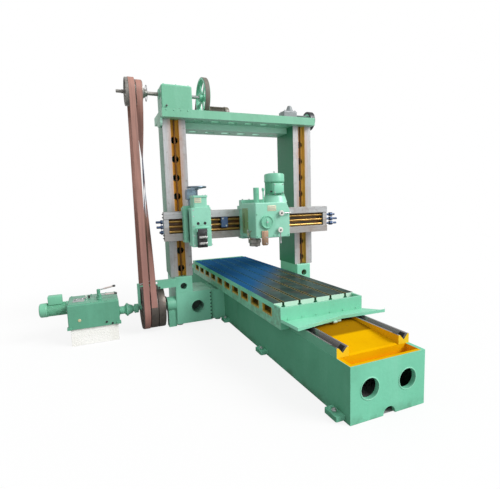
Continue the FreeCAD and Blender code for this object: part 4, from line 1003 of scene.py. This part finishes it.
def wheels():
    """Spoked wheel on the beam, belt pulleys and shafts."""
    p = Piece("beam_wheel_spoked", "beam_wheel")
    half = 0.0325
    p.turned("mint", "X", TOP_AXLE, [(-half, 0.214), (-half, 0.2345), (0.002 - half, 0.236),
                                     (half - 0.002, 0.236), (half, 0.2345), (half, 0.214),
                                     (0.007, 0.208), (-0.007, 0.208)], 64, closed=True, base=WHEEL_MIDDLE)
    p.turned("mint", "X", TOP_AXLE, [(-half - 0.020, 0.042), (-half - 0.016, 0.048), (half + 0.006, 0.048),
                                     (half + 0.010, 0.042)], base=WHEEL_MIDDLE)
    low, high = corners("elevating_wheel")
    p.bar("steel", "X", TOP_AXLE, 0.0218, (low.x, high.x), 24)
    for i in range(5):
        turn = math.radians(72 * i + 54)
        out = Vector((math.cos(turn), math.sin(turn)))
        aside = Vector((-out.y, out.x))
        arm = ((0.040, 0.030), (0.120, 0.019), (0.212, 0.034))
        outline = [Vector(TOP_AXLE) + out * reach + aside * wide for reach, wide in arm]
        outline += [Vector(TOP_AXLE) + out * reach - aside * wide for reach, wide in arm[::-1]]
        p.slab("mint", "X", outline, (WHEEL_MIDDLE - 0.007, WHEEL_MIDDLE + 0.007), 0.003)
    p.done("elevating_wheel")

    p = Piece("top_belt_pulleys", "overhead_shaft")
    pulley(p, TOP_AXLE, 0.162, (-1.452, -1.345), 0.022, "worn_iron")
    pulley(p, TOP_AXLE, 0.140, (-1.340, -1.255), 0.022, "worn_iron")
    p.done("top_pulleys")
    p = Piece("floor_belt_pulleys", "floor_shaft")
    for span in ((-1.430, -1.345), (-1.337, -1.252), (-1.245, -1.160)):
        pulley(p, LOW_AXLE, 0.268, span, 0.026, "dark_pulley")
    p.done("drive_pulleys")

    low, high = corners("countershaft")
    p = Piece("overhead_shaft_turned", "overhead_shaft")
    p.turned("worn_iron", "X", TOP_AXLE,
             [(low.x, 0.015), (low.x + 0.003, 0.0185), (low.x + 0.06, 0.0185), (low.x + 0.062, 0.0218),
              (-1.256, 0.0218), (-1.254, 0.054), (-1.250, 0.061), (-1.236, 0.061), (-1.225, 0.05),
              (-1.200, 0.036), (-1.190, 0.032), (-1.188, 0.0218), (high.x, 0.0218)])
    p.rim("dark", "X", TOP_AXLE, 0.092, 0.0032, -1.205, 40, 6)
    roots = around("X", TOP_AXLE, 0.040, -1.222, 3, 40)
    tips = around("X", TOP_AXLE, 0.092, -1.205, 3, 40)
    for arm in zip(roots, tips):
        p.pipe("dark", arm, 0.003, 6)
    p.done("countershaft")

    low, high = corners("drive_shaft")
    p = Piece("floor_shaft_coupling", "floor_shaft")
    p.turned("mint", "X", LOW_AXLE,
             [(low.x, 0.0255), (-1.690, 0.0258), (-1.688, 0.044), (-1.684, 0.048), (-1.634, 0.048),
              (-1.628, 0.052), (-1.610, 0.072), (-1.608, 0.079), (-1.605, 0.080), (-1.594, 0.080),
              (-1.590, 0.078), (-1.588, 0.070), (-1.560, 0.058), (-1.532, 0.047), (-1.530, 0.036),
              (-1.517, 0.036), (-1.515, 0.052), (-1.511, 0.056), (-1.468, 0.056), (-1.464, 0.052),
              (-1.462, 0.0258), (high.x, 0.0255)], 48)
    p.done("drive_shaft")
    bolts("coupling_bolts", "floor_shaft", around("X", LOW_AXLE, 0.068, -1.590, 6), "+x",
          0.012, 0.008, "bright")


def handles():
    """Handwheel and levers."""
    x, y, z = -0.772, -0.440, 1.761
    p = Piece("tool_handwheel_cast", "tool_wheel")
    p.rim("wheel_iron", "Z", (x, y), 0.104, 0.0108, z + 0.003, 48)
    p.turned("wheel_iron", "Z", (x, y), [(1.6683 - z, 0.011), (-0.030, 0.011), (-0.026, 0.022),
                                         (-0.018, 0.024), (-0.006, 0.020), (-0.004, 0.010),
                                         (0.002, 0.009), (0.003, 0.006)], 24, base=z)
    spots = [around("Z", (x, y), out, z + rise, 4)
             for out, rise in ((0.016, -0.014), (0.050, -0.012), (0.100, 0.003))]
    for spoke in zip(*spots):
        p.pipe("wheel_iron", spoke, 0.0068, 8)
    p.done("tool_handwheel")

    front = MILL_FRONT - 0.040
    for letter, hub, arm, tip in (("a", (0.138, 1.435), (1, 0), 0.125),
                                  ("b", (0.120, 1.238), (0, -1), 0.160)):
        p = Piece("mill_lever_%s_knob" % letter, "gear_lever_" + letter)
        p.turned("steel", "Y", hub, [(0.040, 0.020), (0.026, 0.020), (0.022, 0.020)], 28, base=front)
        p.turned("knob", "Y", hub, [(0.026, 0.019), (0.025, 0.030), (0.021, 0.033), (0.006, 0.033),
                                    (0.001, 0.030), (0, 0.026), (0.002, 0.016), (0.002, 0)], base=front)
        p.turned("black", "Y", hub, [(0.0025, 0.0095), (-0.003, 0.0095), (-0.004, 0.007), (-0.004, 0)],
                 20, base=front)
        bar = front + 0.010
        p.pipe("steel", [(hub[0] + arm[0] * out, bar, hub[1] + arm[1] * out)
                         for out in (0.010, tip - 0.006)], 0.0066, 12)
        axis, centre, base = ("X", (bar, hub[1]), hub[0]) if arm[0] else ("Z", (hub[0], bar), hub[1])
        p.turned("knob" if arm[0] else "steel", axis, centre,
                 [(tip - 0.025, 0.006), (tip - 0.022, 0.010), (tip - 0.006, 0.011), (tip, 0.006)],
                 16, base=base, way=sum(arm))
        p.done("mill_lever_" + letter)

    for letter, x, y, high, rise in (("a", -1.912, 0.060, 0.097, 0.032),
                                     ("b", -1.902, -0.050, 0.062, 0.0)):
        p = Piece("gearbox_lever_%s_handle" % letter, "feed_lever_" + letter)
        p.turned("gear_green", "Z", (x, y), [(0, 0.028), (0.022, 0.028), (0.026, 0.024), (0.030, 0.020),
                                             (high + 0.008, 0.0195), (high + 0.012, 0.016)], 28,
                 base=CASE_TOP)
        start = Vector((x, y, CASE_TOP + high))
        run = Vector((1, 0, rise / 0.175))
        p.pipe("steel", [start + run * -0.012, start + run * 0.080], 0.0078, 12)
        p.pipe("grip", [start + run * 0.062, start + run * 0.110, start + run * 0.165], 0.0105, 12)
        p.turned("black", "X", (y, start.z + rise), [(0.160, 0.008), (0.165, 0.0125), (0.185, 0.0135),
                                                     (0.194, 0.010), (0.197, 0)], 20, base=x)
        p.done("gearbox_lever_" + letter)


def mill_head_parts():
    """Covers, plates, oil cup, dial, spindle nose and screws of the milling head."""
    front = MILL_FRONT
    body = "mill_carriage"
    p = Piece("mill_head_boss", body)
    x, z = centre = (-0.044, 1.337)
    p.turned("mint", "Y", centre, [(0, 0.078), (0.018, 0.078), (0.0255, 0.0755), (0.027, 0.071),
                                   (0.0255, 0.064), (0.020, 0.060), (0.019, 0.030), (0.021, 0.026),
                                   (0.021, 0)], 48, base=front, way=-1)
    p.slab("mint_sheet", "Y", [(x - 0.007, z - 0.044), (x + 0.007, z - 0.044), (x + 0.010, z + 0.040),
                               (x - 0.010, z + 0.040)], (front - 0.0265, front - 0.020), 0.002)
    p.bar("steel", "Y", centre, 0.011, (front - 0.0268, front - 0.020), 16)
    p.done("mill_boss")
    p = Piece("mill_scale_plate", body)
    x0, x1, low, high = -0.113, -0.031, 1.066, 1.237
    p.slab("copper", "Y", [(x0, 1.082), (x0 + 0.013, low), (x1 - 0.013, low), (x1, 1.082), (x1, high),
                           (x0, high)], (front - 0.012, front), 0.002)
    for i in range(9):
        z = high - 0.018 - i * 0.0155
        wide = 0.030 if i % 4 == 0 else 0.018
        p.block("dark", (x0 + 0.010, x0 + 0.010 + wide), (front - 0.0128, front - 0.0115),
                (z - 0.0013, z + 0.0013))
    p.bar("steel", "Y", ((x0 + x1) / 2 + 0.016, low + 0.022), 0.008, (front - 0.018, front - 0.011), 16)
    p.slab("steel", "Y", [(x1 - 0.030, 1.165), (x1 - 0.010, 1.165), (x1 - 0.014, 1.150),
                          (x1 - 0.026, 1.150)], (front - 0.015, front - 0.0115), 0.001)
    p.done("mill_dial")

    side = MILL_LEFT
    p = Piece("mill_head_plates", body)
    p.block("cream", (-0.030, 0.083), (front - 0.002, front + 0.001), (1.463, 1.530), 0.0008)
    for z in steps(1.512, -0.017, 3):
        p.block("nameplate", (-0.020, 0.073), (front - 0.0026, front - 0.0018), (z - 0.0035, z + 0.0035))
    p.block("panel", (side - 0.003, side + 0.002), (-0.560, -0.372), (1.190, 1.500), 0.0015)
    # Painted shade: a black strip for a slot in the side panel.
    p.block("hollow", (side - 0.0045, side - 0.001), (-0.440, -0.427), (1.262, 1.442), 0.0005)
    p.block("panel", (side - 0.009, side - 0.002), (-0.448, -0.419), (1.236, 1.262), 0.002)
    p.done()

    p = Piece("mill_oil_fittings", body)
    cup = (side - 0.018, -0.585)
    p.turned("bright", "Z", cup, [(1.205, 0.006), (1.215, 0.011), (1.240, 0.011), (1.243, 0.007),
                                  (1.250, 0.005)], 16)
    p.bar("glass", "Z", cup, 0.0085, (1.176, 1.206), 14)
    p.turned("bright", "Z", cup, [(1.160, 0.006), (1.163, 0.010), (1.176, 0.010)], 16)
    p.pipe("copper", [(*cup, 1.165), (*cup, 1.135), (side - 0.014, -0.615, 1.128),
                      (side + 0.012, -0.630, 1.125)], 0.0042, 8)
    p.pipe("copper", [(side - 0.002, -0.655, 1.235), (side - 0.022, -0.655, 1.230),
                      (side - 0.024, -0.652, 1.180), (side - 0.012, -0.640, 1.140),
                      (side + 0.010, -0.630, 1.132)], 0.0042, 8)
    p.block("steel", (side - 0.012, side + 0.001), (-0.597, -0.573), (1.186, 1.200), 0.002)
    knob = (-0.043, -0.700)
    p.bar("mint", "Z", knob, 0.008, (1.560, 1.702), 12)
    p.turned("mint", "Z", knob, [(1.695, 0.008), (1.702, 0.015), (1.718, 0.018), (1.732, 0.014),
                                 (1.737, 0)], 20)
    p.done()

    p = Piece("mill_tube_cap", body)
    p.turned("mint", "Z", (-0.085, -0.590), [(1.563, 0.040), (1.570, 0.040), (1.574, 0.034), (1.728, 0.034),
                                             (1.730, 0.0345), (1.739, 0.0345), (1.743, 0.030),
                                             (1.743, 0.014), (1.7435, 0)])
    p.done("mill_tube")
    p = Piece("mill_spindle_nose", "spindle")
    x, y = spindle = (-0.120, -0.590)
    p.turned("worn_iron", "Z", spindle,
             [(1.045, 0.030), (1.045, 0.062), (1.049, 0.066), (1.082, 0.066), (1.086, 0.072),
              (1.088, 0.078), (1.121, 0.078), (1.125, 0.074), (1.126, 0.0618), (1.2995, 0.0618),
              (1.2995, 0.02)], 48, closed=True)
    for span in ((y - 0.060, y - 0.034), (y + 0.034, y + 0.060)):
        p.block("dark", (x - 0.012, x + 0.012), span, (1.0395, 1.050), 0.001)
    p.done("mill_spindle")
    low = corners("mill_spindle")[0].z
    bolts("mill_spindle_screws", "spindle", around("Z", spindle, 0.0585, low + 0.0005, 4, 45), "-z",
          0.010, 0.0004, "dark", 12)
    foot = [spot for spot in around("Z", MILL_MOTOR, 0.137, 1.567, 8) if spot[1] < -0.5]
    screw_rows = (
        ("mill_panel_screws", grid(side - 0.003, (-0.550, -0.382), (1.202, 1.345, 1.488)), "-x",
         0.010, 0.004, "steel", 12),
        ("mill_front_screws", grid((-0.165, 0.240), front, (1.175, 1.43)) + [(0.045, front, 1.175)], "-y",
         0.014, 0.006, "mint"),
        ("mill_plate_rivets", grid((-0.026, 0.079), front - 0.002, (1.467, 1.526)), "-y",
         0.005, 0.002, "steel", 8),
        ("mill_mount_bolts", foot, "+z", 0.016, 0.012, "mint"),
        ("mill_saddle_bolts", grid((-0.150, -0.06, 0.03), -0.300, 1.605), "+z", 0.018, 0.010),
        ("mill_gib_screws_left", grid(-0.185, -0.310, (1.16, 1.27, 1.38, 1.49)), "-x", 0.014, 0.009),
        ("mill_gib_screws_right", grid(0.262, -0.310, (1.16, 1.27, 1.38, 1.49)), "+x", 0.014, 0.009))
    for name, *rest in screw_rows:
        bolts(name, body, *rest)


def tool_head_parts():
    """Neck plate, lifting eyes, clapper clamps, gib strips and the saddle's ridges."""
    x = TOOL_X
    front = SLIDE_FRONT
    p = Piece("tool_neck_plate", "tool_ram")
    p.block("cream", (x - 0.066, x + 0.014), (-0.5125, -0.509), (1.583, 1.655), 0.0008)
    for z in steps(1.638, -0.018, 3):
        p.block("nameplate", (x - 0.058, x + 0.006), (-0.5131, -0.5121), (z - 0.0035, z + 0.0035))
    for eye in ((x - 0.050, 1.350), (x + 0.030, 1.350)):
        p.bar("dark", "Y", eye, 0.010, (front - 0.012, front + 0.001), 14)
        p.rim("dark", "Y", eye, 0.0135, 0.0042, front - 0.010, 18, 8)
    p.done()
    p = Piece("tool_slide_trim", "tool_ram")
    for span in ((SLIDE[0].x, SLIDE[0].x + 0.010), (SLIDE[1].x - 0.010, SLIDE[1].x)):
        p.block("mint_sheet", span, (-0.400, -0.3505), (1.12, 1.50), 0.002)
    p.block("mint_sheet", (x - 0.075, x + 0.085), (front - 0.003, front + 0.002), (1.290, 1.316), 0.0015)
    p.done()
    bolts("tool_slide_screws", "tool_ram",
          grid((x - 0.098, x + 0.108), front, (1.10, 1.21, 1.32, 1.43, 1.50)), "-y",
          0.011, 0.005, "steel", 12)
    bolts("tool_neck_bolts", "tool_ram", grid((x - 0.066, x + 0.070), (-0.495, -0.375), 1.668), "+z",
          0.014, 0.007)

    p = Piece("tool_clapper_box", "clapper")
    low, high = corners("tool_clapper")
    wide = (x - 0.056, x + 0.056)
    y, pin = -0.5646, (-0.5426, 1.272)
    p.block("dark", wide, (y, y + 0.044), (1.070, 1.272), 0.003)
    p.bar("dark", "X", pin, 0.0218, wide, 28)
    p.bar("bright", "X", pin, 0.008, (low.x, high.x), 16)
    # Painted shade: a black sheet for the recess in the clapper box's face.
    p.block("hollow", (x - 0.044, x + 0.044), (y - 0.0012, y + 0.001), (1.078, 1.252), 0.0005)
    p.block("dark", (x - 0.030, x + 0.030), (y - 0.004, y), (1.215, 1.245), 0.002)
    for z in (1.190, 1.118):
        p.block("bright", (x - 0.046, x + 0.050), (y - 0.020, y - 0.001), (z - 0.013, z + 0.013), 0.003)
        for stud in ((x - 0.032, z), (x + 0.036, z)):
            p.turned("bright", "Y", stud, [(-0.036, 0.0065), (-0.034, 0.008), (-0.020, 0.008)], 16, base=y)
            p.turned("bright", "Y", stud, [(-0.031, 0.0135), (-0.020, 0.0135)], 6, base=y)
        p.bar("dark", "Z", (x + 0.002, y - 0.010), 0.010, (z - 0.030, z - 0.012), 16)
    p.done("tool_clapper")

    body = "tool_carriage"
    left = SADDLE[0].x
    front = SADDLE_FRONT - 0.004
    p = Piece("tool_saddle_trim", body)
    p.block("mint_sheet", (left - 0.002, left + 0.004), (-0.345, -0.272), (1.135, 1.535), 0.0015)
    p.block("mint_sheet", (left + 0.006, SLIDE[0].x - 0.004), (front, front + 0.005), (1.140, 1.535), 0.0015)
    p.done()
    repeated("row", "tool_saddle_ridges", body, "mint", Count=5, Start=(left - 0.003, -0.336, 1.335),
             Step=(0, 0.0138, 0), Size=(0.006, 0.005, 0.380))
    bolts("tool_gib_screws", body, grid(left - 0.002, -0.312, (1.16, 1.25, 1.34, 1.43, 1.51)), "-x",
          0.013, 0.010)
    bolts("tool_gib_screws_right", body, grid(SADDLE[1].x, -0.312, (1.16, 1.28, 1.40, 1.51)), "+x",
          0.013, 0.008)
    bolts("tool_saddle_bolts", body, grid(left + 0.023, front, (1.17, 1.30, 1.43, 1.51)), "-y",
          0.013, 0.007, "mint")
    p = Piece("tool_motor_trim", body)
    for z in steps(1.650, 0.014, 6):
        p.block("slate", (-0.8615, -0.7385), (-0.3195, -0.2035), (z - 0.002, z + 0.002), 0.0008)
    p.turned("slate", "Z", (-0.80, -0.2615), [(1.744, 0.042), (1.752, 0.040), (1.754, 0.030), (1.754, 0)], 28)
    p.done()


def column_parts():
    """Rims of the columns' holes, seams and window rims of the pedestals, their bolts."""
    for side, name in SIDES.items():
        rims = Piece("column_hole_rims_" + name, "frame")
        for z in steps(0.747, 0.232, 8):
            rims.turned("lift_screw", "Y", (side * RECESS_X, z),
                        [(0.0665, 0.043), (0.0665, 0.0465), (0.070, 0.047), (0.070, 0.043)], 28, closed=True)
        rims.done()
        seat = Piece("pedestal_seam_" + name, "frame")
        seat.block("hollow", sorted((side * 0.5292, side * 0.5308)), (-0.0304, -0.029), (0.034, 0.430))
        ring = [(0, 0.082), (0.004, 0.082), (0.005, 0.0845), (0.004, 0.090), (0, 0.092)]
        seat.turned("mint_sheet", "Y", (side * (INNER - 0.040), 0.235), ring, 48, closed=True,
                    base=-0.030, way=-1)
        seat.done()
        bolts("pedestal_seam_bolts_" + name, "frame", grid(side * 0.545, -0.030, steps(0.060, 0.048, 8)),
              "-y", 0.014, 0.007, "dark")
        bolts("pedestal_flange_bolts_" + name, "frame",
              grid((side * 0.40, side * 0.49), steps(0.03, 0.1, 5), 0.422), "+z", 0.020, 0.010, "mint")
        bolts("column_foot_bolts_" + name, "frame", grid(side * 0.994, steps(0.08, 0.12, 4), 0.60),
              OUTWARD[side], 0.020, 0.010, "mint")
        bolts("beam_seat_bolts_" + name, "frame",
              grid(steps(side * (INNER + 0.04), side * 0.1, 3), (-0.03, 0.12), BEAM[0].z + 0.106), "+z",
              0.024, 0.014)


def bed_parts():
    """Nuts on the levelling screws, lug bolts, window rims, the table's stop and tray fixings."""
    start, end = BED[0].y, BED[1].y
    spots = grid([side * (HALF_BED + 0.038) for side in SIDES],
                 (start + 0.135, start + 1.418, start + 2.578, start + 3.738, end - 0.160), 0.0)
    p = Piece("levelling_screw_nuts", "frame")
    for *spot, _ in spots:
        p.turned("steel", "Z", spot, [(0.0, 0.024), (0.003, 0.026), (0.009, 0.026), (0.012, 0.020),
                                      (0.013, 0.012), (0.074, 0.012), (0.078, 0.009)], 20)
        p.turned("steel", "Z", spot, [(0.0505, 0.0185), (0.052, 0.0205), (0.064, 0.0205), (0.066, 0.0185)], 6)
        p.turned("bright", "Z", spot, [(0.074, 0.0075), (0.0778, 0.0075)], 4)
    p.done("levelling_screws")
    bolts("lug_bolts", "frame", [(x, y + 0.045, 0.050) for x, y, _ in spots], "+z", 0.022, 0.014, "mint")
    p = Piece("bed_window_rims", "frame")
    ring = [(0, 0.078), (0.003, 0.0785), (0.004, 0.081), (0.003, 0.086), (0, 0.088)]
    for side in SIDES:
        for y, way in ((start, -1), (end, 1)):
            p.turned("mint_sheet", "Y", (side * 0.174, 0.238), ring, 48, closed=True, base=y, way=way)
    p.done()
    p = Piece("table_stop", "work_table")
    y = -2.010
    p.block("mint_pale", (-0.020, 0.020), (y - 0.050, y + 0.145), (0.498, 0.5138), 0.003)
    p.block("mint_pale", (-0.085, 0.085), (y - 0.016, y + 0.016), (0.490, 0.508), 0.004)
    p.bar("steel", "Z", (0.0, y - 0.030), 0.010, (0.488, 0.500), 12)
    for x in (-0.070, 0.070):
        p.bar("mint", "Z", (x, y), 0.011, (0.486, 0.492), 14)
    p.done()
    for y, way, name in ((TABLE[0].y, "-y", "front"), (TABLE[1].y, "+y", "rear")):
        bolts("tray_screws_" + name, "work_table", grid(steps(-0.37, 0.148, 6), y, 0.533), way,
              0.011, 0.005, "mint", 12)


def drive_parts():
    """Trim and bolts of the gearboxes, belt bracket's rods, bevel cap, beam's end ring."""
    low, high = corners("elevating_gearbox")
    p = Piece("beam_gearbox_trim", "frame")
    p.block("mint_sheet", (low.x + 0.016, high.x - 0.016), (low.y + 0.016, high.y - 0.016),
            (high.z - 0.001, high.z + 0.009), 0.003)
    p.turned("black", "Y", (-1.000, 2.744), [(-0.001, 0.007), (0.010, 0.007), (0.012, 0.011),
                                             (0.020, 0.011), (0.023, 0.006)], 16, base=low.y, way=-1)
    p.turned("mint_sheet", "X", TOP_AXLE, [(-0.001, 0.060), (0.008, 0.060), (0.012, 0.050), (0.012, 0.024)],
             base=high.x)
    p.turned("mint_sheet", "X", TOP_AXLE, [(-0.001, 0.060), (0.006, 0.060), (0.008, 0.050), (0.008, 0.024)],
             base=low.x, way=-1)
    p.done()
    bolts("beam_gearbox_bolts", "frame",
          grid((low.x + 0.035, (low.x + high.x) / 2, high.x - 0.035), (low.y + 0.035, high.y - 0.035),
               high.z + 0.009), "+z", 0.015, 0.008, "mint")
    bolts("beam_gearbox_foot_bolts", "frame", grid(steps(low.x + 0.05, 0.087, 4), low.y, BEAM[1].z - 0.018),
          "-y", 0.012, 0.006, "mint")

    front, back, left, right, top = -0.170, 0.300, -2.250, -1.700, CASE_TOP
    p = Piece("feed_gearbox_trim", "frame")
    p.block("gear_green", (left + 0.010, right - 0.010), (front + 0.010, back - 0.010),
            (top - 0.002, top + 0.005), 0.002)
    p.block("nameplate", (-2.194, -2.071), (-0.064, 0.114), (0.488, 0.4895), 0.0006)
    for spot, radius in (((-2.165, 0.075), 0.026), ((-2.165, 0.005), 0.020), ((-2.100, 0.080), 0.020)):
        p.turned("steel", "Z", spot, [(0.489, radius), (0.494, radius), (0.496, radius * 0.85), (0.496, 0)], 24)
        p.turned("black", "Z", spot, [(0.4955, radius * 0.6), (0.4968, radius * 0.6), (0.4968, 0)], 20)
    p.turned("black", "Z", (-2.020, 0.085), [(0, 0.012), (0.012, 0.010), (0.030, 0.014), (0.040, 0.011),
                                             (0.042, 0)], 18, base=top)
    p.turned("knob", "Z", (-2.055, 0.135), [(0, 0.010), (0.010, 0.008), (0.022, 0.013), (0.032, 0.010),
                                            (0.034, 0)], 18, base=top)
    p.pipe("steel", [(-2.085, 0.120, top + 0.010), (-2.050, 0.040, top + 0.018)], 0.005, 8)
    p.turned("gear_green", "X", LOW_AXLE, [(-0.001, 0.068), (0.008, 0.068), (0.012, 0.060), (0.012, 0.028)],
             base=right)
    p.turned("glass", "Y", (-2.130, 0.300), [(-0.001, 0.017), (0.005, 0.017), (0.006, 0)], 24,
             base=front, way=-1)
    p.done()
    bolts("feed_gearbox_bolts", "frame",
          grid((left + 0.030, -2.00, -1.83, right - 0.030), (front + 0.028, back - 0.028), top + 0.005), "+z",
          0.013, 0.007, "gear_green")
    bolts("feed_gearbox_drain", "frame", [(-1.846, front, 0.240), (-1.783, front, 0.216)], "-y",
          0.018, 0.010, "dark")
    bolts("feed_gearbox_foot_bolts", "frame",
          grid((left + 0.008, right - 0.008), (-0.160, 0.290), 0.228), "+z", 0.016, 0.010)
    bolts("feed_bearing_bolts", "frame", around("X", LOW_AXLE, 0.057, right + 0.008, 4, 45), "+x",
          0.011, 0.006)

    p = Piece("belt_bracket_rods", "frame")
    p.pipe("steel", [(-1.446, -0.092, 0.618), (-1.380, -0.092, 0.640), (-1.300, -0.088, 0.652)], 0.006)
    for spot, front, shaft, radius in (((-1.150, 0.430), -0.095, 0.017, 0.013),
                                       ((-1.216, 0.560), -0.092, 0.016, 0.012)):
        p.turned("black", "Y", spot, [(0, 0.006), (shaft, 0.006), (shaft + 0.002, radius),
                                      (shaft + 0.014, radius), (shaft + 0.018, radius - 0.005)], 16,
                 base=front, way=-1)
    p.done()
    top = corners("bevel_bracket")[1].z
    p = Piece("bevel_cap", "frame")
    middle = (0.767, 0.100)
    p.turned("bright", "Z", middle, [(-0.004, 0.026), (0, 0.024), (0.004, 0.014), (0.006, 0)], 24, base=top)
    p.rim("grey", "Z", middle, 0.056, 0.004, top - 0.074, 32, 8)
    p.done()
    bolts("bevel_bolts", "frame", grid((0.665, 0.825), (0.042, 0.158), 2.830), "+z", 0.014, 0.008)
    low, high = corners("beam_end_cover")
    centre = (0.130, 2.722)
    p = Piece("beam_end_ring", "frame")
    p.turned("dark", "X", centre, [(0, 0.1295), (0.070, 0.1295), (0.0745, 0.124), (0.0745, 0.100),
                                   (0.060, 0.098), (0, 0.098)], 56, closed=True, base=low.x)
    p.turned("mint", "X", centre, [(low.x + 0.001, 0.098), (high.x - 0.004, 0.0955), (high.x, 0.090),
                                   (high.x, 0)], 48)
    p.done("beam_end_cover")
    bolts("beam_end_bolts", "frame", around("X", centre, 0.072, high.x, 6, 30), "+x", 0.012, 0.006)


for build in (motors, lifting_screws, rail_screws, wheels, handles, mill_head_parts, tool_head_parts,
              column_parts, bed_parts, drive_parts):
    build()


# The photograph's view: a hand-held camera in front of the bed's end, a little to its left.
def camera():
    """Camera solved from the photograph's straight edges."""
    position = Vector((-1.866, -4.669, 1.570))
    heading, pitch, roll = 0.39453, -0.11916, -0.03064
    focal, centre_x, centre_y, wide, high = 367.97, 251.355, 246.470, 500, 489
    forward = Vector((math.sin(heading) * math.cos(pitch), math.cos(heading) * math.cos(pitch),
                      math.sin(pitch)))
    level = Vector((math.cos(heading), -math.sin(heading), 0))
    rise = level.cross(forward)
    right = level * math.cos(roll) + rise * math.sin(roll)
    up = rise * math.cos(roll) - level * math.sin(roll)
    data = bpy.data.cameras.new("view")
    data.sensor_width = 36
    data.lens = focal / wide * data.sensor_width
    data.shift_x = -(centre_x - wide / 2) / wide
    data.shift_y = (centre_y - high / 2) / wide
    data.clip_end = 200
    eye = bpy.data.objects.new("view", data)
    turn = Matrix((right, up, -forward)).transposed()
    eye.matrix_world = Matrix.Translation(position) @ turn.to_4x4()
    bpy.context.collection.objects.link(eye)
    bpy.context.scene.camera = eye


def lamp(name, toward, strength, spread):
    """Soft far light that comes from a direction."""
    data = bpy.data.lights.new(name, "SUN")
    data.energy = strength
    data.angle = math.radians(spread)
    lit = bpy.data.objects.new(name, data)
    lit.rotation_euler = Vector(toward).to_track_quat("Z", "Y").to_euler()
    bpy.context.collection.objects.link(lit)


def studio():
    """Pale floor with painted shade under the bed, white surroundings, a wide key light from the front right.
    """
    bpy.context.scene.view_settings.view_transform = "Standard"
    world = bpy.data.worlds.new("studio")
    world.use_nodes = True
    bpy.context.scene.world = world
    f = Finish("studio", world)
    eye, mirror, clear = [f.node("ShaderNodeLightPath", out="Is %s Ray" % kind)
                          for kind in ("Camera", "Glossy", "Transmission")]
    level = eye.larger(clear).larger(mirror * 0.75).larger(0.70)
    shine = f.node("ShaderNodeBackground", {}, {"Color": (1, 1, 1, 1), "Strength": level})
    f.node("ShaderNodeOutputWorld", {}, {"Surface": shine})

    bpy.ops.mesh.primitive_plane_add(size=60, location=(0, 0, -0.001))
    ground = bpy.context.object
    ground.name = "studio_floor"
    f = Finish("studio_floor")
    eye = f.node("ShaderNodeLightPath", out="Is Camera Ray")
    matt = f.node("ShaderNodeBsdfDiffuse", {}, {"Color": (0.4, 0.4, 0.4, 1)})
    pale = f.node("ShaderNodeBsdfDiffuse", {}, {"Color": (0.85, 0.85, 0.85, 1)})
    glow = f.node("ShaderNodeEmission", {}, {"Color": (1, 1, 1, 1), "Strength": 1.0})
    apart = f.node("ShaderNodeVectorMath", {"operation": "LENGTH"}, {0: f.place}, "Value")
    # Painted shade: no glow on the floor under the bed's outline.
    under = inside(f.x, -HALF_BED, HALF_BED) * inside(f.y, BED[0].y + 0.02, BED[1].y - 0.02)
    bright = 0.86 + apart.between(3.0, 5.0) * 0.14
    seen = f.node("ShaderNodeMixShader", {}, {0: bright, 1: pale, 2: glow})
    both = f.node("ShaderNodeMixShader", {}, {0: eye * (1.0 - under), 1: matt, 2: seen})
    f.node("ShaderNodeOutputMaterial", {}, {"Surface": both})
    ground.data.materials.append(f.material)
    lamp("key", (0.62, -0.62, 0.62), 2.6, 30)


camera()
studio()
